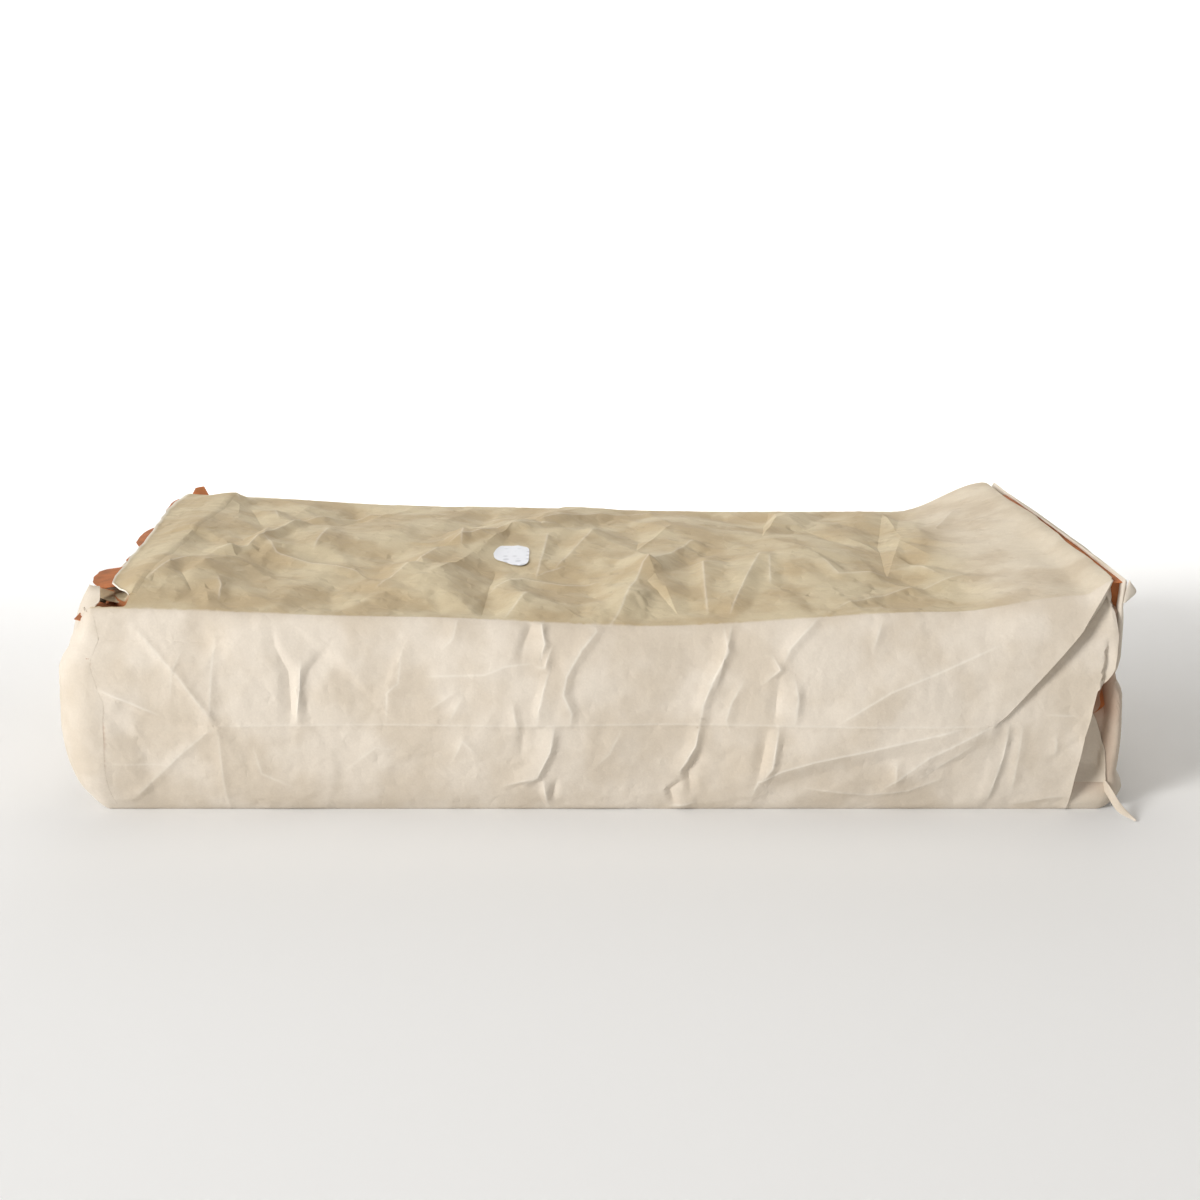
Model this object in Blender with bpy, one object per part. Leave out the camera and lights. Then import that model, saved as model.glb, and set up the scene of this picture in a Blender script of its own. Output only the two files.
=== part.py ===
"""A 25 kg paper sack of casting plaster, lying on one of its two wide faces.

The sack is a side-gusseted tube of kraft paper with a folded, glued block bottom at -X and
a mouth at +X that is flattened, folded over and glued down on the end. The origin is the
middle of the footprint, on the floor. The gusset at -Y is the side with the centre crease.
The upper face is crumpled into large flat facets, and the gussets are tucked in at the
mouth. A small sticker lies on the upper face.
"""

import math

import bmesh
import bpy
import numpy as np
from mathutils import Vector
from mathutils.bvhtree import BVHTree
from mathutils.geometry import delaunay_2d_cdt

# Driving dimensions, in metres.
HALF_WIDTH = 0.169  # from the middle to the long edges of the upper face
FOOT_HALF_WIDTH = 0.166  # the same on the floor, where the paper turns up
BASE_FOLD_X = -0.309  # where the tube turns into the block bottom
BASE_BULGE = 0.025  # how far the block bottom stands out past its folds
MOUTH_FOLD_X = 0.304  # where the tube turns into the end panel
MOUTH_BULGE = 0.0215  # the same at the mouth, without its folded flap
GUSSET_BULGE = 0.017  # how far the filled sides stand out past the long edges
CENTRE_CREASE_DEPTH = 0.003  # the gusset's middle fold, pressed in along its length
CENTRE_CREASE_SHARE = 0.5  # the height of that fold, as a share of the side's height
CROWN = 0.007  # how far the powder lifts the middle of the upper face
CROWN_FLAT_X = (0.17, 0.30)  # towards the mouth it gets nearly flat
CROWN_FLAT = 0.9
CORNER_INSET = 0.022  # how far the ends round in at their upright corners
BASE_FOOT_LIFT = 0.032  # how far the lower edge rises on the way to the flat of the end
BASE_TOP_DROP = 0.014  # how far the upper edge drops on that way
MOUTH_FOOT_LIFT = 0.012
MOUTH_TOP_DROP = 0.045

# Heights of the upper face's two long edges at places along the sack, as (x, z).
FRONT_EDGE = (
    (-0.309, 0.130),
    (-0.124, 0.125),
    (0.026, 0.119),
    (0.206, 0.128),
    (0.285, 0.138),
    (0.304, 0.1475),
)
BACK_EDGE = ((-0.309, 0.133), (-0.124, 0.125), (0.100, 0.121), (0.233, 0.121), (0.304, 0.145))

# The upper face's large facets: random peaks this far apart, joined by flat triangles.
FACET_SEED = 11
FACET_LENGTH = 0.038
FACET_WIDTH = 0.082
FACET_LEAN = math.radians(-14)
FACET_DEPTH = 0.005
FACET_KEPT = 0.8  # the share of the peaks that isn't left out
FACET_REACH_X = (-0.340, 0.330)
FACET_REACH_Y = 0.172
FACET_SCATTER = 0.45  # how far a peak may lie from its place, as a share of the distance
RIM_DEPTH = 0.1  # the share of the facets' depth that is left at the long edges
RIM_FADE = 0.026  # how far in from the long edges the facets reach their full depth
MOUTH_SLACK = 0.6  # how much flatter the facets get towards the mouth, as a share
MOUTH_SLACK_X = (0.215, 0.260)
BASE_SLACK = 0.6  # the same next to the block bottom
BASE_SLACK_X = (-0.309, -0.280)
BASE_LIP = 0.006  # how far the upper face turns up at the block bottom
BASE_LIP_X = (-0.302, -0.270)
BASE_LIP_INSET = 0.040
SWELL_SEED = 14  # slow swells under the facets
SWELL_HEIGHT = 0.0005
SWELL_LENGTH = 0.170
SWELL_WAVES = 6

# The upper face's widest creases: (height, reach to the left, reach to the right, points), where
# left and right are those of someone who walks along the (x, y) points.
CREASES = (
    (0.0040, 0.014, 0.020, ((-0.226, 0.070), (-0.170, 0.126))),
    (0.0040, 0.026, 0.014, ((-0.146, -0.120), (-0.128, -0.070), (-0.112, -0.016))),
    (0.0048, 0.024, 0.016, ((0.000, -0.176), (0.010, -0.145), (0.024, -0.072), (0.064, 0.018))),
    (0.0034, 0.012, 0.018, ((-0.034, -0.050), (-0.002, 0.056))),
    (0.0040, 0.018, 0.010, ((0.075, -0.155), (0.092, -0.090), (0.107, -0.026))),
    (-0.0036, 0.030, 0.014, ((0.203, -0.064), (0.214, 0.060), (0.234, 0.156))),
)

# Where the gussets are tucked in at the mouth: under a diagonal fold, and past the fold's edge,
# both as (x, z).
DIAGONAL = ((0.232, 0.060), (0.256, 0.086), (0.284, 0.118), (0.304, 0.150))
DIAGONAL_TUCK = (0.002, 0.0105)  # how deep it starts, and how much deeper it gets
DIAGONAL_FADE = 0.042
MOUTH_EDGE = (
    (0.285, 0.0),
    (0.288, 0.041),
    (0.2925, 0.072),
    (0.2945, 0.082),
    (0.299, 0.100),
)
MOUTH_EDGE_MIDDLE = 0.290
MOUTH_EDGE_REACH = 0.014
EDGE_TUCK = 0.017
EDGE_TUCK_WALL = 0.0016
EDGE_TUCK_FOOT = (0.005, 0.024)  # the heights between which that tuck sets in
BAND_DENT = 0.0042  # a hollow band under the upper edge, next to the block bottom
BAND_DENT_DOWN = 0.017  # how far under the edge it is deepest
BAND_DENT_REACH = (0.015, 0.012)  # how far it reaches up and down from there
BAND_DENT_END = (-0.245, -0.222)

# The mouth, folded down over the end, as a slab seen along Y: (x, z) around its outline.
MOUTH_FLAP = (
    (0.298, 0.142),
    (0.303, 0.1478),
    (0.3065, 0.149),
    (0.313, 0.1465),
    (0.320, 0.142),
    (0.3265, 0.134),
    (0.3315, 0.122),
    (0.334, 0.104),
    (0.334, 0.090),
    (0.330, 0.083),
    (0.310, 0.085),
    (0.300, 0.100),
)
MOUTH_FLAP_HALF_WIDTH = 0.166
MOUTH_FLAP_ENDS = 0.058  # how long the flap's ends are, where it lies closer in
MOUTH_FLAP_END_SHARE = 0.4  # how far out it stands there, as a share of its middle

STICKER_X = -0.065
STICKER_Y = -0.027
# The sticker's outline about its middle, as (x, y).
STICKER_OUTLINE = (
    (-0.0122, 0.0025),
    (-0.0100, -0.0065),
    (-0.0040, -0.0125),
    (0.0030, -0.0190),
    (0.0095, -0.0205),
    (0.0118, -0.0180),
    (0.0122, -0.0100),
    (0.0123, 0.0020),
    (0.0120, 0.0130),
    (0.0105, 0.0185),
    (0.0070, 0.0207),
    (0.0000, 0.0210),
    (-0.0070, 0.0200),
    (-0.0098, 0.0150),
    (-0.0113, 0.0085),
)
STICKER_THICKNESS = 0.0006
STICKER_SAMPLES = 8  # how finely its clearance is looked at
STICKER_CALM = 0.75  # how much flatter the paper is under it, as a share
STICKER_CALM_REACH = 0.030
STICKER_TILT = 0.09  # how far the paper under it leans to the front
STICKER_TILT_REACH = 0.034
REST_GAP = 0.0003

# How finely the sack is divided.
SIDE_SHARES = (0.0, 0.04, 0.14, 0.28, 0.42, 0.47, 0.5, 0.53, 0.58, 0.72, 0.86, 0.96, 1.0)
TOP_STEPS = 17
FLOOR_STEPS = 8
LENGTH_STEP = 0.019
MOUTH_RINGS = (0.2872, 0.290, 0.2918, 0.297, 0.304)
END_STEPS = 5


def eased_between(points, x):
    """The height at x of a smooth line through the (x, z) points."""
    if x <= points[0][0]:
        return points[0][1]
    for (x0, z0), (x1, z1) in zip(points, points[1:]):
        if x <= x1:
            share = (x - x0) / (x1 - x0)
            return z0 + (z1 - z0) * share * share * (3 - 2 * share)
    return points[-1][1]


def eased_step(value, low, high):
    """0 up to low, 1 past high, and smooth between."""
    share = min(max((value - low) / (high - low), 0.0), 1.0)
    return share * share * (3 - 2 * share)


def across_line(points, a, b):
    """How the place (a, b) lies to a line through the points.

    Gives its signed distance, above 0 on the left, and how far along the line it is from 0 to 1.
    """
    lengths = [math.dist(start, end) for start, end in zip(points, points[1:])]
    nearest, share, walked = 1e9, 0.0, 0.0
    for start, end, length in zip(points, points[1:], lengths):
        run_a, run_b = (end[0] - start[0]) / length, (end[1] - start[1]) / length
        da, db = a - start[0], b - start[1]
        reach = min(max(da * run_a + db * run_b, 0.0), length)
        gap = math.hypot(da - reach * run_a, db - reach * run_b)
        if gap < abs(nearest):
            side = 1.0 if run_a * db - run_b * da >= 0 else -1.0
            nearest, share = gap * side, (walked + reach) / sum(lengths)
        walked += length
    return nearest, share


def facet_net():
    """The upper face's facets, as corners (x, y) with their heights, and triangles."""
    random = np.random.default_rng(FACET_SEED)
    cosine, sine = math.cos(FACET_LEAN), math.sin(FACET_LEAN)
    ends = [(x, y) for x in FACET_REACH_X for y in (-FACET_REACH_Y, FACET_REACH_Y)]
    u_reach = [(x * cosine + y * sine) / FACET_LENGTH for x, y in ends]
    v_reach = [(y * cosine - x * sine) / FACET_WIDTH for x, y in ends]
    low_u, high_u = int(min(u_reach)) - 2, int(max(u_reach)) + 3
    low_v, high_v = int(min(v_reach)) - 2, int(max(v_reach)) + 3
    peaks, heights = [], []
    for i in range(low_u, high_u):
        for j in range(low_v, high_v):
            shift = random.uniform(-FACET_SCATTER, FACET_SCATTER, 2)
            height = random.uniform(-1, 1)
            edge = i in (low_u, high_u - 1) or j in (low_v, high_v - 1)
            if random.random() < FACET_KEPT or edge:
                u = (i + 0.5 * (j % 2) + shift[0]) * FACET_LENGTH
                v = (j + shift[1]) * FACET_WIDTH
                peaks.append(Vector((u * cosine - v * sine, u * sine + v * cosine)))
                heights.append(height)
    corners, _, triangles, origins, _, _ = delaunay_2d_cdt(peaks, [], [], 0, 1e-9)
    return [(*corner, heights[origin[0]]) for corner, origin in zip(corners, origins)], triangles


def facet_height(net, x, y):
    """The facets' height at a place, from -1 to 1."""
    corners, triangles = net
    for triangle in triangles:
        (ax, ay, az), (bx, by, bz), (cx, cy, cz) = (corners[index] for index in triangle)
        area = (bx - ax) * (cy - ay) - (cx - ax) * (by - ay)
        share_b = ((x - ax) * (cy - ay) - (y - ay) * (cx - ax)) / area
        share_c = ((y - ay) * (bx - ax) - (x - ax) * (by - ay)) / area
        if share_b >= 0 and share_c >= 0 and share_b + share_c <= 1:
            return az + (bz - az) * share_b + (cz - az) * share_c
    return 0.0


def swell_waves():
    """The slow swells of the upper face, as (angle, phase, turns of the angle per metre)."""
    random = np.random.default_rng(SWELL_SEED)
    waves = []
    for _ in range(SWELL_WAVES):
        angle, phase = random.uniform(0, math.pi), random.uniform(0, 2 * math.pi)
        waves.append((angle, phase, 2 * math.pi / (SWELL_LENGTH * random.uniform(0.8, 1.6))))
    return waves


def swell_height(x, y):
    """How far the slow swells lift a place."""
    height = 0.0
    for angle, phase, rate in swell_waves():
        height += math.sin(rate * (x * math.cos(angle) + y * math.sin(angle)) + phase)
    return SWELL_HEIGHT * height


def upper_crumple(net, x, y):
    """How far the crumpled paper stands above the smooth upper face."""
    inset = HALF_WIDTH - abs(y)
    rim = eased_step(inset, 0, RIM_FADE)
    slack = 1 - MOUTH_SLACK * eased_step(x, *MOUTH_SLACK_X)
    depth = FACET_DEPTH * (RIM_DEPTH + (1 - RIM_DEPTH) * rim)
    height = depth * facet_height(net, x, y) * slack + swell_height(x, y) * rim
    for crest, left, right, points in CREASES:
        distance, _ = across_line(points, x, y)
        reach = left if distance > 0 else right
        height += crest * max(0.0, 1 - abs(distance) / reach) * rim
    height *= 1 - BASE_SLACK * (1 - eased_step(x, *BASE_SLACK_X))
    lip = 1 - eased_step(x, *BASE_LIP_X)
    height += BASE_LIP * lip * eased_step(inset, 0, BASE_LIP_INSET)
    away = math.hypot(x - STICKER_X, y - STICKER_Y)
    height *= 1 - STICKER_CALM * math.exp(-((away / STICKER_CALM_REACH) ** 2))
    tilt = STICKER_TILT * math.exp(-((away / STICKER_TILT_REACH) ** 2))
    return height + tilt * (y - STICKER_Y)


def gusset_tuck(x, z, height):
    """How far a gusset is tucked in at a place."""
    below = height - z - BAND_DENT_DOWN
    upward, downward = BAND_DENT_REACH
    band = max(0.0, 1 - abs(below) / (downward if below > 0 else upward))
    tuck = BAND_DENT * band * (1 - eased_step(x, *BAND_DENT_END))
    distance, share = across_line(DIAGONAL, x, z)
    if distance < 0 and x > DIAGONAL[0][0]:
        start, deeper = DIAGONAL_TUCK
        tuck += (start + deeper * share**1.2) * math.exp(distance / DIAGONAL_FADE)
        past = min(max((x - edge_at(z)) / EDGE_TUCK_WALL, 0.0), 1.0)
        tuck += EDGE_TUCK * past * eased_step(z, *EDGE_TUCK_FOOT)
    return tuck


def edge_at(z):
    """Where the mouth's fold edge is at a height."""
    heights = [height for _, height in MOUTH_EDGE]
    return float(np.interp(z, heights, [x for x, _ in MOUTH_EDGE]))


def side_outline(share):
    """How far a gusset stands out past the long edges at this share of its height."""
    arch = math.sin(math.pi * share) ** 0.7
    crease = math.exp(-(((share - CENTRE_CREASE_SHARE) / 0.04) ** 2))
    return GUSSET_BULGE * arch - CENTRE_CREASE_DEPTH * crease


def section(net, x):
    """One closed cross-section of the filled tube, as (x, y, z) points.

    Near the mouth it leans along the fold's edge.
    """
    front, back = eased_between(FRONT_EDGE, x), eased_between(BACK_EDGE, x)
    lean = max(0.0, 1 - abs(x - MOUTH_EDGE_MIDDLE) / MOUTH_EDGE_REACH)
    ring = []

    def gusset_point(share, height, turn):
        z = height * share
        leaned = x + lean * (edge_at(z) - MOUTH_EDGE_MIDDLE)
        half = FOOT_HALF_WIDTH + (HALF_WIDTH - FOOT_HALF_WIDTH) * share
        inner = share * (1 - share) > 0
        tuck = gusset_tuck(leaned, z, height) if inner else 0.0
        return leaned, turn * (half + side_outline(share) - tuck), z

    for share in SIDE_SHARES:
        ring.append(gusset_point(share, front, -1))
    crown = CROWN * (1 - CROWN_FLAT * eased_step(x, *CROWN_FLAT_X))
    for step in range(1, TOP_STEPS):
        share = step / TOP_STEPS
        y = HALF_WIDTH * (2 * share - 1)
        height = front + (back - front) * share + crown * (1 - (2 * share - 1) ** 2)
        leaned = x + lean * (edge_at(height) - MOUTH_EDGE_MIDDLE)
        ring.append((leaned, y, height + upper_crumple(net, x, y)))
    for share in reversed(SIDE_SHARES):
        ring.append(gusset_point(share, back, 1))
    for step in range(FLOOR_STEPS - 1, 0, -1):
        leaned = x + lean * (edge_at(0) - MOUTH_EDGE_MIDDLE)
        ring.append((leaned, FOOT_HALF_WIDTH * (2 * step / FLOOR_STEPS - 1), 0.0))
    return ring


def end_section(net, x, angle, bulge, foot_lift, top_drop, drop_share):
    """A cross-section past the fold at x, on the rounded way round to the flat of the end."""
    inset = CORNER_INSET * (1 - math.cos(angle))
    drop = top_drop * drop_share
    lift = foot_lift * math.sin(angle) ** 1.5
    ring = section(net, x)
    top = max(z for _, _, z in ring)
    points = []
    for _, y, z in ring:
        narrowed = y * (1 - inset / HALF_WIDTH)
        squeezed = lift + z * (1 - (lift + drop) / top)
        points.append((x + bulge * math.sin(angle), narrowed, squeezed))
    return points


def sack_rings():
    """All the cross-sections from the block bottom to the mouth, as (x, y, z) points."""
    net = facet_net()
    angles = [0.5 * math.pi * step / END_STEPS for step in range(1, END_STEPS + 1)]
    rings = []
    for angle in reversed(angles):
        share = 1 - math.cos(angle)
        shape = (angle, -BASE_BULGE, BASE_FOOT_LIFT, BASE_TOP_DROP, share)
        rings.append(end_section(net, BASE_FOLD_X, *shape))
    steps = round((MOUTH_RINGS[0] - BASE_FOLD_X) / LENGTH_STEP)
    for step in range(steps):
        rings.append(section(net, BASE_FOLD_X + (MOUTH_RINGS[0] - BASE_FOLD_X) * step / steps))
    for x in MOUTH_RINGS:
        rings.append(section(net, x))
    for angle in angles:
        share = math.sin(angle) ** 1.2
        shape = (angle, MOUTH_BULGE, MOUTH_FOOT_LIFT, MOUTH_TOP_DROP, share)
        rings.append(end_section(net, MOUTH_FOLD_X, *shape))
    return rings


def material(name, colour, roughness):
    """A Principled BSDF material of this linear colour."""
    made = bpy.data.materials.new(name)
    made.use_nodes = True
    shader = made.node_tree.nodes["Principled BSDF"]
    shader.inputs["Base Color"].default_value = (*colour, 1.0)
    shader.inputs["Roughness"].default_value = roughness
    shader.inputs["Metallic"].default_value = 0.0
    return made


def add_object(name, mesh_data, look):
    """A named object of this bmesh, with its faces turned outwards."""
    bmesh.ops.recalc_face_normals(mesh_data, faces=mesh_data.faces)
    mesh = bpy.data.meshes.new(name)
    mesh_data.to_mesh(mesh)
    mesh_data.free()
    mesh.materials.append(look)
    made = bpy.data.objects.new(name, mesh)
    bpy.context.scene.collection.objects.link(made)
    return made


def build_mouth_flap(look):
    """The folded mouth, as a slab that the sack is joined with, closer in at its two ends."""
    shape = bmesh.new()
    inner = MOUTH_FLAP_HALF_WIDTH - MOUTH_FLAP_ENDS
    sections = []
    for y, out in (
        (-MOUTH_FLAP_HALF_WIDTH, MOUTH_FLAP_END_SHARE),
        (-inner, 1.0),
        (inner, 1.0),
        (MOUTH_FLAP_HALF_WIDTH, MOUTH_FLAP_END_SHARE),
    ):
        sections.append([])
        for x, z in MOUTH_FLAP:
            past = max(x - MOUTH_FOLD_X, 0.0)
            sections[-1].append(shape.verts.new((x - past * (1 - out), y, z)))
    for first, second in zip(sections, sections[1:]):
        for here in range(len(first)):
            after = (here + 1) % len(first)
            shape.faces.new((first[here], first[after], second[after], second[here]))
    shape.faces.new(sections[0])
    shape.faces.new(sections[-1])
    flap = add_object("mouth_flap_form", shape, look)
    flap.hide_render = True
    flap.display_type = "WIRE"
    return flap


def build_sack():
    """The filled sack: paper and plaster as one closed solid."""
    look = material("kraft_paper", (0.62, 0.50, 0.36), 0.85)
    shape = bmesh.new()
    rings = [[shape.verts.new(point) for point in ring] for ring in sack_rings()]
    for first, second in zip(rings, rings[1:]):
        for here in range(len(first)):
            after = (here + 1) % len(first)
            shape.faces.new((first[here], first[after], second[after], second[here]))
    shape.faces.new(rings[0])
    shape.faces.new(rings[-1])
    sack = add_object("paper_sack", shape, look)
    sack.data.shade_smooth()
    sack.data.set_sharp_from_angle(angle=math.radians(35))
    joined = sack.modifiers.new("mouth_flap", "BOOLEAN")
    joined.operation = "UNION"
    joined.solver = "EXACT"
    joined.object = build_mouth_flap(look)
    return sack


def build_sticker(sack):
    """The sticker: a thin plate that follows the paper and is just clear of its crests."""
    look = material("sticker_paper", (0.80, 0.82, 0.85), 0.5)
    paper = BVHTree.FromObject(sack, bpy.context.evaluated_depsgraph_get())

    def on_paper(place):
        above = Vector((place.x, place.y, 1.0))
        return paper.ray_cast(above, Vector((0, 0, -1)))[0]

    middle = on_paper(Vector((STICKER_X, STICKER_Y)))
    rim = [on_paper(Vector((STICKER_X + dx, STICKER_Y + dy))) for dx, dy in STICKER_OUTLINE]
    lift = 0.0
    for here, after in zip(rim, rim[1:] + rim[:1]):
        for out in range(STICKER_SAMPLES + 1):
            for round_ in range(out + 1):
                share, turn = out / STICKER_SAMPLES, round_ / max(out, 1)
                place = middle.lerp(here.lerp(after, turn), share)
                lift = max(lift, on_paper(place).z - place.z)
    rest = Vector((0, 0, lift + REST_GAP))
    thick = Vector((0, 0, STICKER_THICKNESS))
    shape = bmesh.new()
    lower_middle, upper_middle = shape.verts.new(middle + rest), shape.verts.new(middle + rest + thick)
    lower = [shape.verts.new(place + rest) for place in rim]
    upper = [shape.verts.new(place + rest + thick) for place in rim]
    for here in range(len(lower)):
        after = (here + 1) % len(lower)
        shape.faces.new((lower[here], lower[after], upper[after], upper[here]))
        shape.faces.new((upper[here], upper[after], upper_middle))
        shape.faces.new((lower[after], lower[here], lower_middle))
    return add_object("sticker", shape, look)


def main():
    for item in list(bpy.context.scene.objects):
        bpy.data.objects.remove(item, do_unlink=True)
    sack = build_sack()
    build_sticker(sack)


main()
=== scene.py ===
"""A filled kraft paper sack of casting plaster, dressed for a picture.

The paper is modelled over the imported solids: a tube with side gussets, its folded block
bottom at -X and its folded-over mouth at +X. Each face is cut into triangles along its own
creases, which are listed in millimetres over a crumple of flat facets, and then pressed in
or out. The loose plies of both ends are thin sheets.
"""

import math

import bpy
import numpy as np
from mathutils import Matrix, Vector
from mathutils.bvhtree import BVHTree
from mathutils.geometry import delaunay_2d_cdt
from mathutils.kdtree import KDTree


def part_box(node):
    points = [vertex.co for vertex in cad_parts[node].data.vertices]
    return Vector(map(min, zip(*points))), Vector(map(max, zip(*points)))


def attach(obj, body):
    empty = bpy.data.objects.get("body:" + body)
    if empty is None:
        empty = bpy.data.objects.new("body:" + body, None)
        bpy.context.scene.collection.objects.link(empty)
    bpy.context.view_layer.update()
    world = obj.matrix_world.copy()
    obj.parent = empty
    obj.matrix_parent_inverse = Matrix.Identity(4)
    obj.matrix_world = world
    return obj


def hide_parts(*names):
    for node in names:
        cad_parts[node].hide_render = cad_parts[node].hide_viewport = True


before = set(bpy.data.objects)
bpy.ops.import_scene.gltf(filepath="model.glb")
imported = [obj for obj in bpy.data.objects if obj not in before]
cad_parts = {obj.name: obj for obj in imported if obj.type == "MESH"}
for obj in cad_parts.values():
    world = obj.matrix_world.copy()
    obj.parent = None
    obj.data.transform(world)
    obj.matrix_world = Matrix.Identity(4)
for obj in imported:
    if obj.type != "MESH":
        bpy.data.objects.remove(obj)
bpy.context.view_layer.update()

bl_info = {
    "name": "Paper plaster sack",
    "version": (1, 0, 0),
    "blender": (4, 5, 0),
    "location": "3D View > Sidebar > Sack",
    "description": "Builds a filled, crumpled paper sack lying on a pale floor",
    "category": "Add Mesh",
}

MM = 0.001
SACK_LOW, SACK_HIGH = (Vector(corner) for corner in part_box("paper_sack"))
STICKER_LOW, STICKER_HIGH = (Vector(corner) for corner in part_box("sticker"))

# The filled tube, in metres, from the frame's box where it can be.
HALF_WIDTH = 0.169
FOOT_HALF_WIDTH = 0.166
BASE_BULGE = 0.025
MOUTH_BULGE = 0.0215  # a little less than the solid's, which takes in the flap
BASE_FOLD_X = SACK_LOW.x + BASE_BULGE
MOUTH_FOLD_X = SACK_HIGH.x - 0.030
GUSSET_BULGE = 0.017
CROWN = 0.007
CORNER_INSET = 0.022
BASE_FOOT_LIFT = 0.032
BASE_TOP_DROP = 0.014
MOUTH_FOOT_LIFT = 0.012
MOUTH_TOP_DROP = 0.045
# (x, z) along the upper face's front edge and its back one.
FRONT_EDGE = (
    (-0.309, 0.130), (-0.124, 0.125), (0.026, 0.119), (0.206, 0.128), (0.285, 0.138),
    (0.304, 0.1475),
)
BACK_EDGE = ((-0.309, 0.133), (-0.124, 0.125), (0.100, 0.121), (0.233, 0.121), (0.304, 0.145))
GUSSET_ARCH = 0.7  # below 1, the gusset's bulge is fuller than a sine's
CROWN_LOST = 0.9  # the share of the crown that is gone where the face turns up to the mouth
CROWN_FADES_X = (0.17, 0.30)

CREST_ROUND = 0.25  # mm, how far a sharp crease is rounded
CREST_SIDE = 1.1  # mm from a crest to the row of points on each side of it
RUN_OUT = 14.0  # mm over which a crease's end runs out, or 0.4 of a short one
SIDE_CREASE_DEPTH = 0.75  # of the heights in the tables below
TOP_CREASE_DEPTH = 0.8
MOST_WEAR_AND_HIGHLIGHT = {"front": 0.55, "top": 0.3, "back": 0.55, "floor": 0.0}  # how pale creases are painted: rubbed paper, and a painted highlight on their crests
PALE_CREST_WIDTH = 0.8  # mm from a crest to where little of the pale line is left
PALE_CREST_HEIGHT = 0.5  # mm, the lowest crease that is painted pale
BASE_PAINTED_SHADE_S = (-326, -312)  # where the upper face's deeper colour, its painted shade, starts, under the upper panel's loose end
MOUTH_PAINTED_SHADE_LOST = 0.6  # how much of the upper face's deeper colour, its painted shade, is gone at the mouth, where the face turns up to the light
MOUTH_PAINTED_SHADE_LOST_S = (212, 262)

# The smooth shape that the creases are pressed into: its columns and its rows on each face.
COLUMN_STEP = 0.004
END_COLUMNS = 12
FACE_ROWS = {"front": 44, "top": 90, "back": 44, "floor": 20}

# How far apart the paper's points are, in mm.
FACE_STEP = {"front": 1.95, "top": 2.6, "back": 3.3, "floor": 8.0}
SEAM_STEP = 2.1
CAP_SHARES = (0.05, 0.12, 0.2, 0.3, 0.41, 0.53, 0.66, 0.8, 0.92)
CAP_RELIEF = 2.6  # mm

# The crumple nets: (seed, two sizes in mm, slant in degrees), the (s, t) that they reach from
# and to, and how many mm deep they are.
CRUMPLE_NETS = {
    "front": ((21, 36, 52, 12), (22, 13, 19, -24), (23, 46, 7, 2)),
    "top": ((11, 38, 82, -14), (12, 16, 32, 22)),
    "back": ((31, 36, 52, 12), (32, 13, 19, -24), (33, 46, 7, 2)),
}
GUSSET_NET_BOX = ((-340, -5), (330, 152))
NET_BOXES = {"front": GUSSET_NET_BOX, "top": ((-340, -172), (330, 172)), "back": GUSSET_NET_BOX}
CAP_NET_BOX = ((-180, -5), (180, 150))
GUSSET_NET_DEPTHS = (1.5, 0.45, 0.5)
TOP_NET_DEPTHS = (6.0, 2.3)


def eased(share):
    """A share from 0 to 1, eased so that it starts and ends level."""
    return share * share * (3 - 2 * share)


def eased_between(points, x):
    """The heights at x of a smooth line through the (x, z) points."""
    places, heights = zip(*points)
    x = np.clip(x, places[0], places[-1])
    here = np.clip(np.searchsorted(places, x, side="right") - 1, 0, len(places) - 2)
    places, heights = np.array(places), np.array(heights)
    share = (x - places[here]) / (places[here + 1] - places[here])
    return heights[here] + (heights[here + 1] - heights[here]) * eased(share)


def read_off(line, place):
    """The second number at a place on a line of pairs, whose first numbers rise."""
    return np.interp(place, *zip(*line))


def faded(value, low, high):
    """0 up to low, 1 past high, and smooth between."""
    return eased(np.clip((value - low) / (high - low), 0, 1))


def resampled(points, step):
    """Places at most step apart along the straight runs through the points."""
    points = np.array(points, float)
    kept = [points[:1]]
    for start, end in zip(points, points[1:]):
        count = max(1, math.ceil(np.linalg.norm(end - start) / step))
        kept.append(start + (end - start) * np.arange(1, count + 1)[:, None] / count)
    return np.concatenate(kept)


def smooth_line(points, count):
    """Places evenly spaced along a smooth line through the points."""
    points = np.array(points, float)
    before, after = 2 * points[0] - points[1], 2 * points[-1] - points[-2]
    held = np.concatenate([[before], points, [after]])
    share = np.arange(8)[:, None] / 8
    runs = []
    for a, b, c, d in zip(held, held[1:], held[2:], held[3:]):
        bend = (2 * a - 5 * b + 4 * c - d) * share**2 + (3 * b - a - 3 * c + d) * share**3
        runs.append(b + 0.5 * ((c - a) * share + bend))
    line = np.concatenate([*runs, points[-1:]])
    walked = np.concatenate([[0], np.cumsum(np.linalg.norm(np.diff(line, axis=0), axis=1))])
    even = np.linspace(0, walked[-1], count)
    return np.stack([np.interp(even, walked, axis) for axis in line.T], 1)


def along_stroke(points, s, t):
    """How the places (s, t) lie to a line through the points.

    Gives the signed distance, above 0 on the left of the line, how far along it from 0 to 1,
    and its length.
    """
    points = np.array(points, float)
    lengths = np.linalg.norm(np.diff(points, axis=0), axis=1)
    walked = np.concatenate([[0], np.cumsum(lengths)])
    nearest = np.full(s.shape, 1e9)
    side, share = np.ones(s.shape), np.zeros(s.shape)
    for start, end, length, before in zip(points, points[1:], lengths, walked):
        ds, dt = s - start[0], t - start[1]
        run_s, run_t = (end - start) / length
        reach = np.clip(ds * run_s + dt * run_t, 0, length)
        gap = np.hypot(ds - reach * run_s, dt - reach * run_t)
        closer = gap < nearest
        nearest = np.where(closer, gap, nearest)
        side = np.where(closer, np.sign(run_s * dt - run_t * ds + 1e-12), side)
        share = np.where(closer, (before + reach) / walked[-1], share)
    return nearest * side, share, walked[-1]


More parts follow.
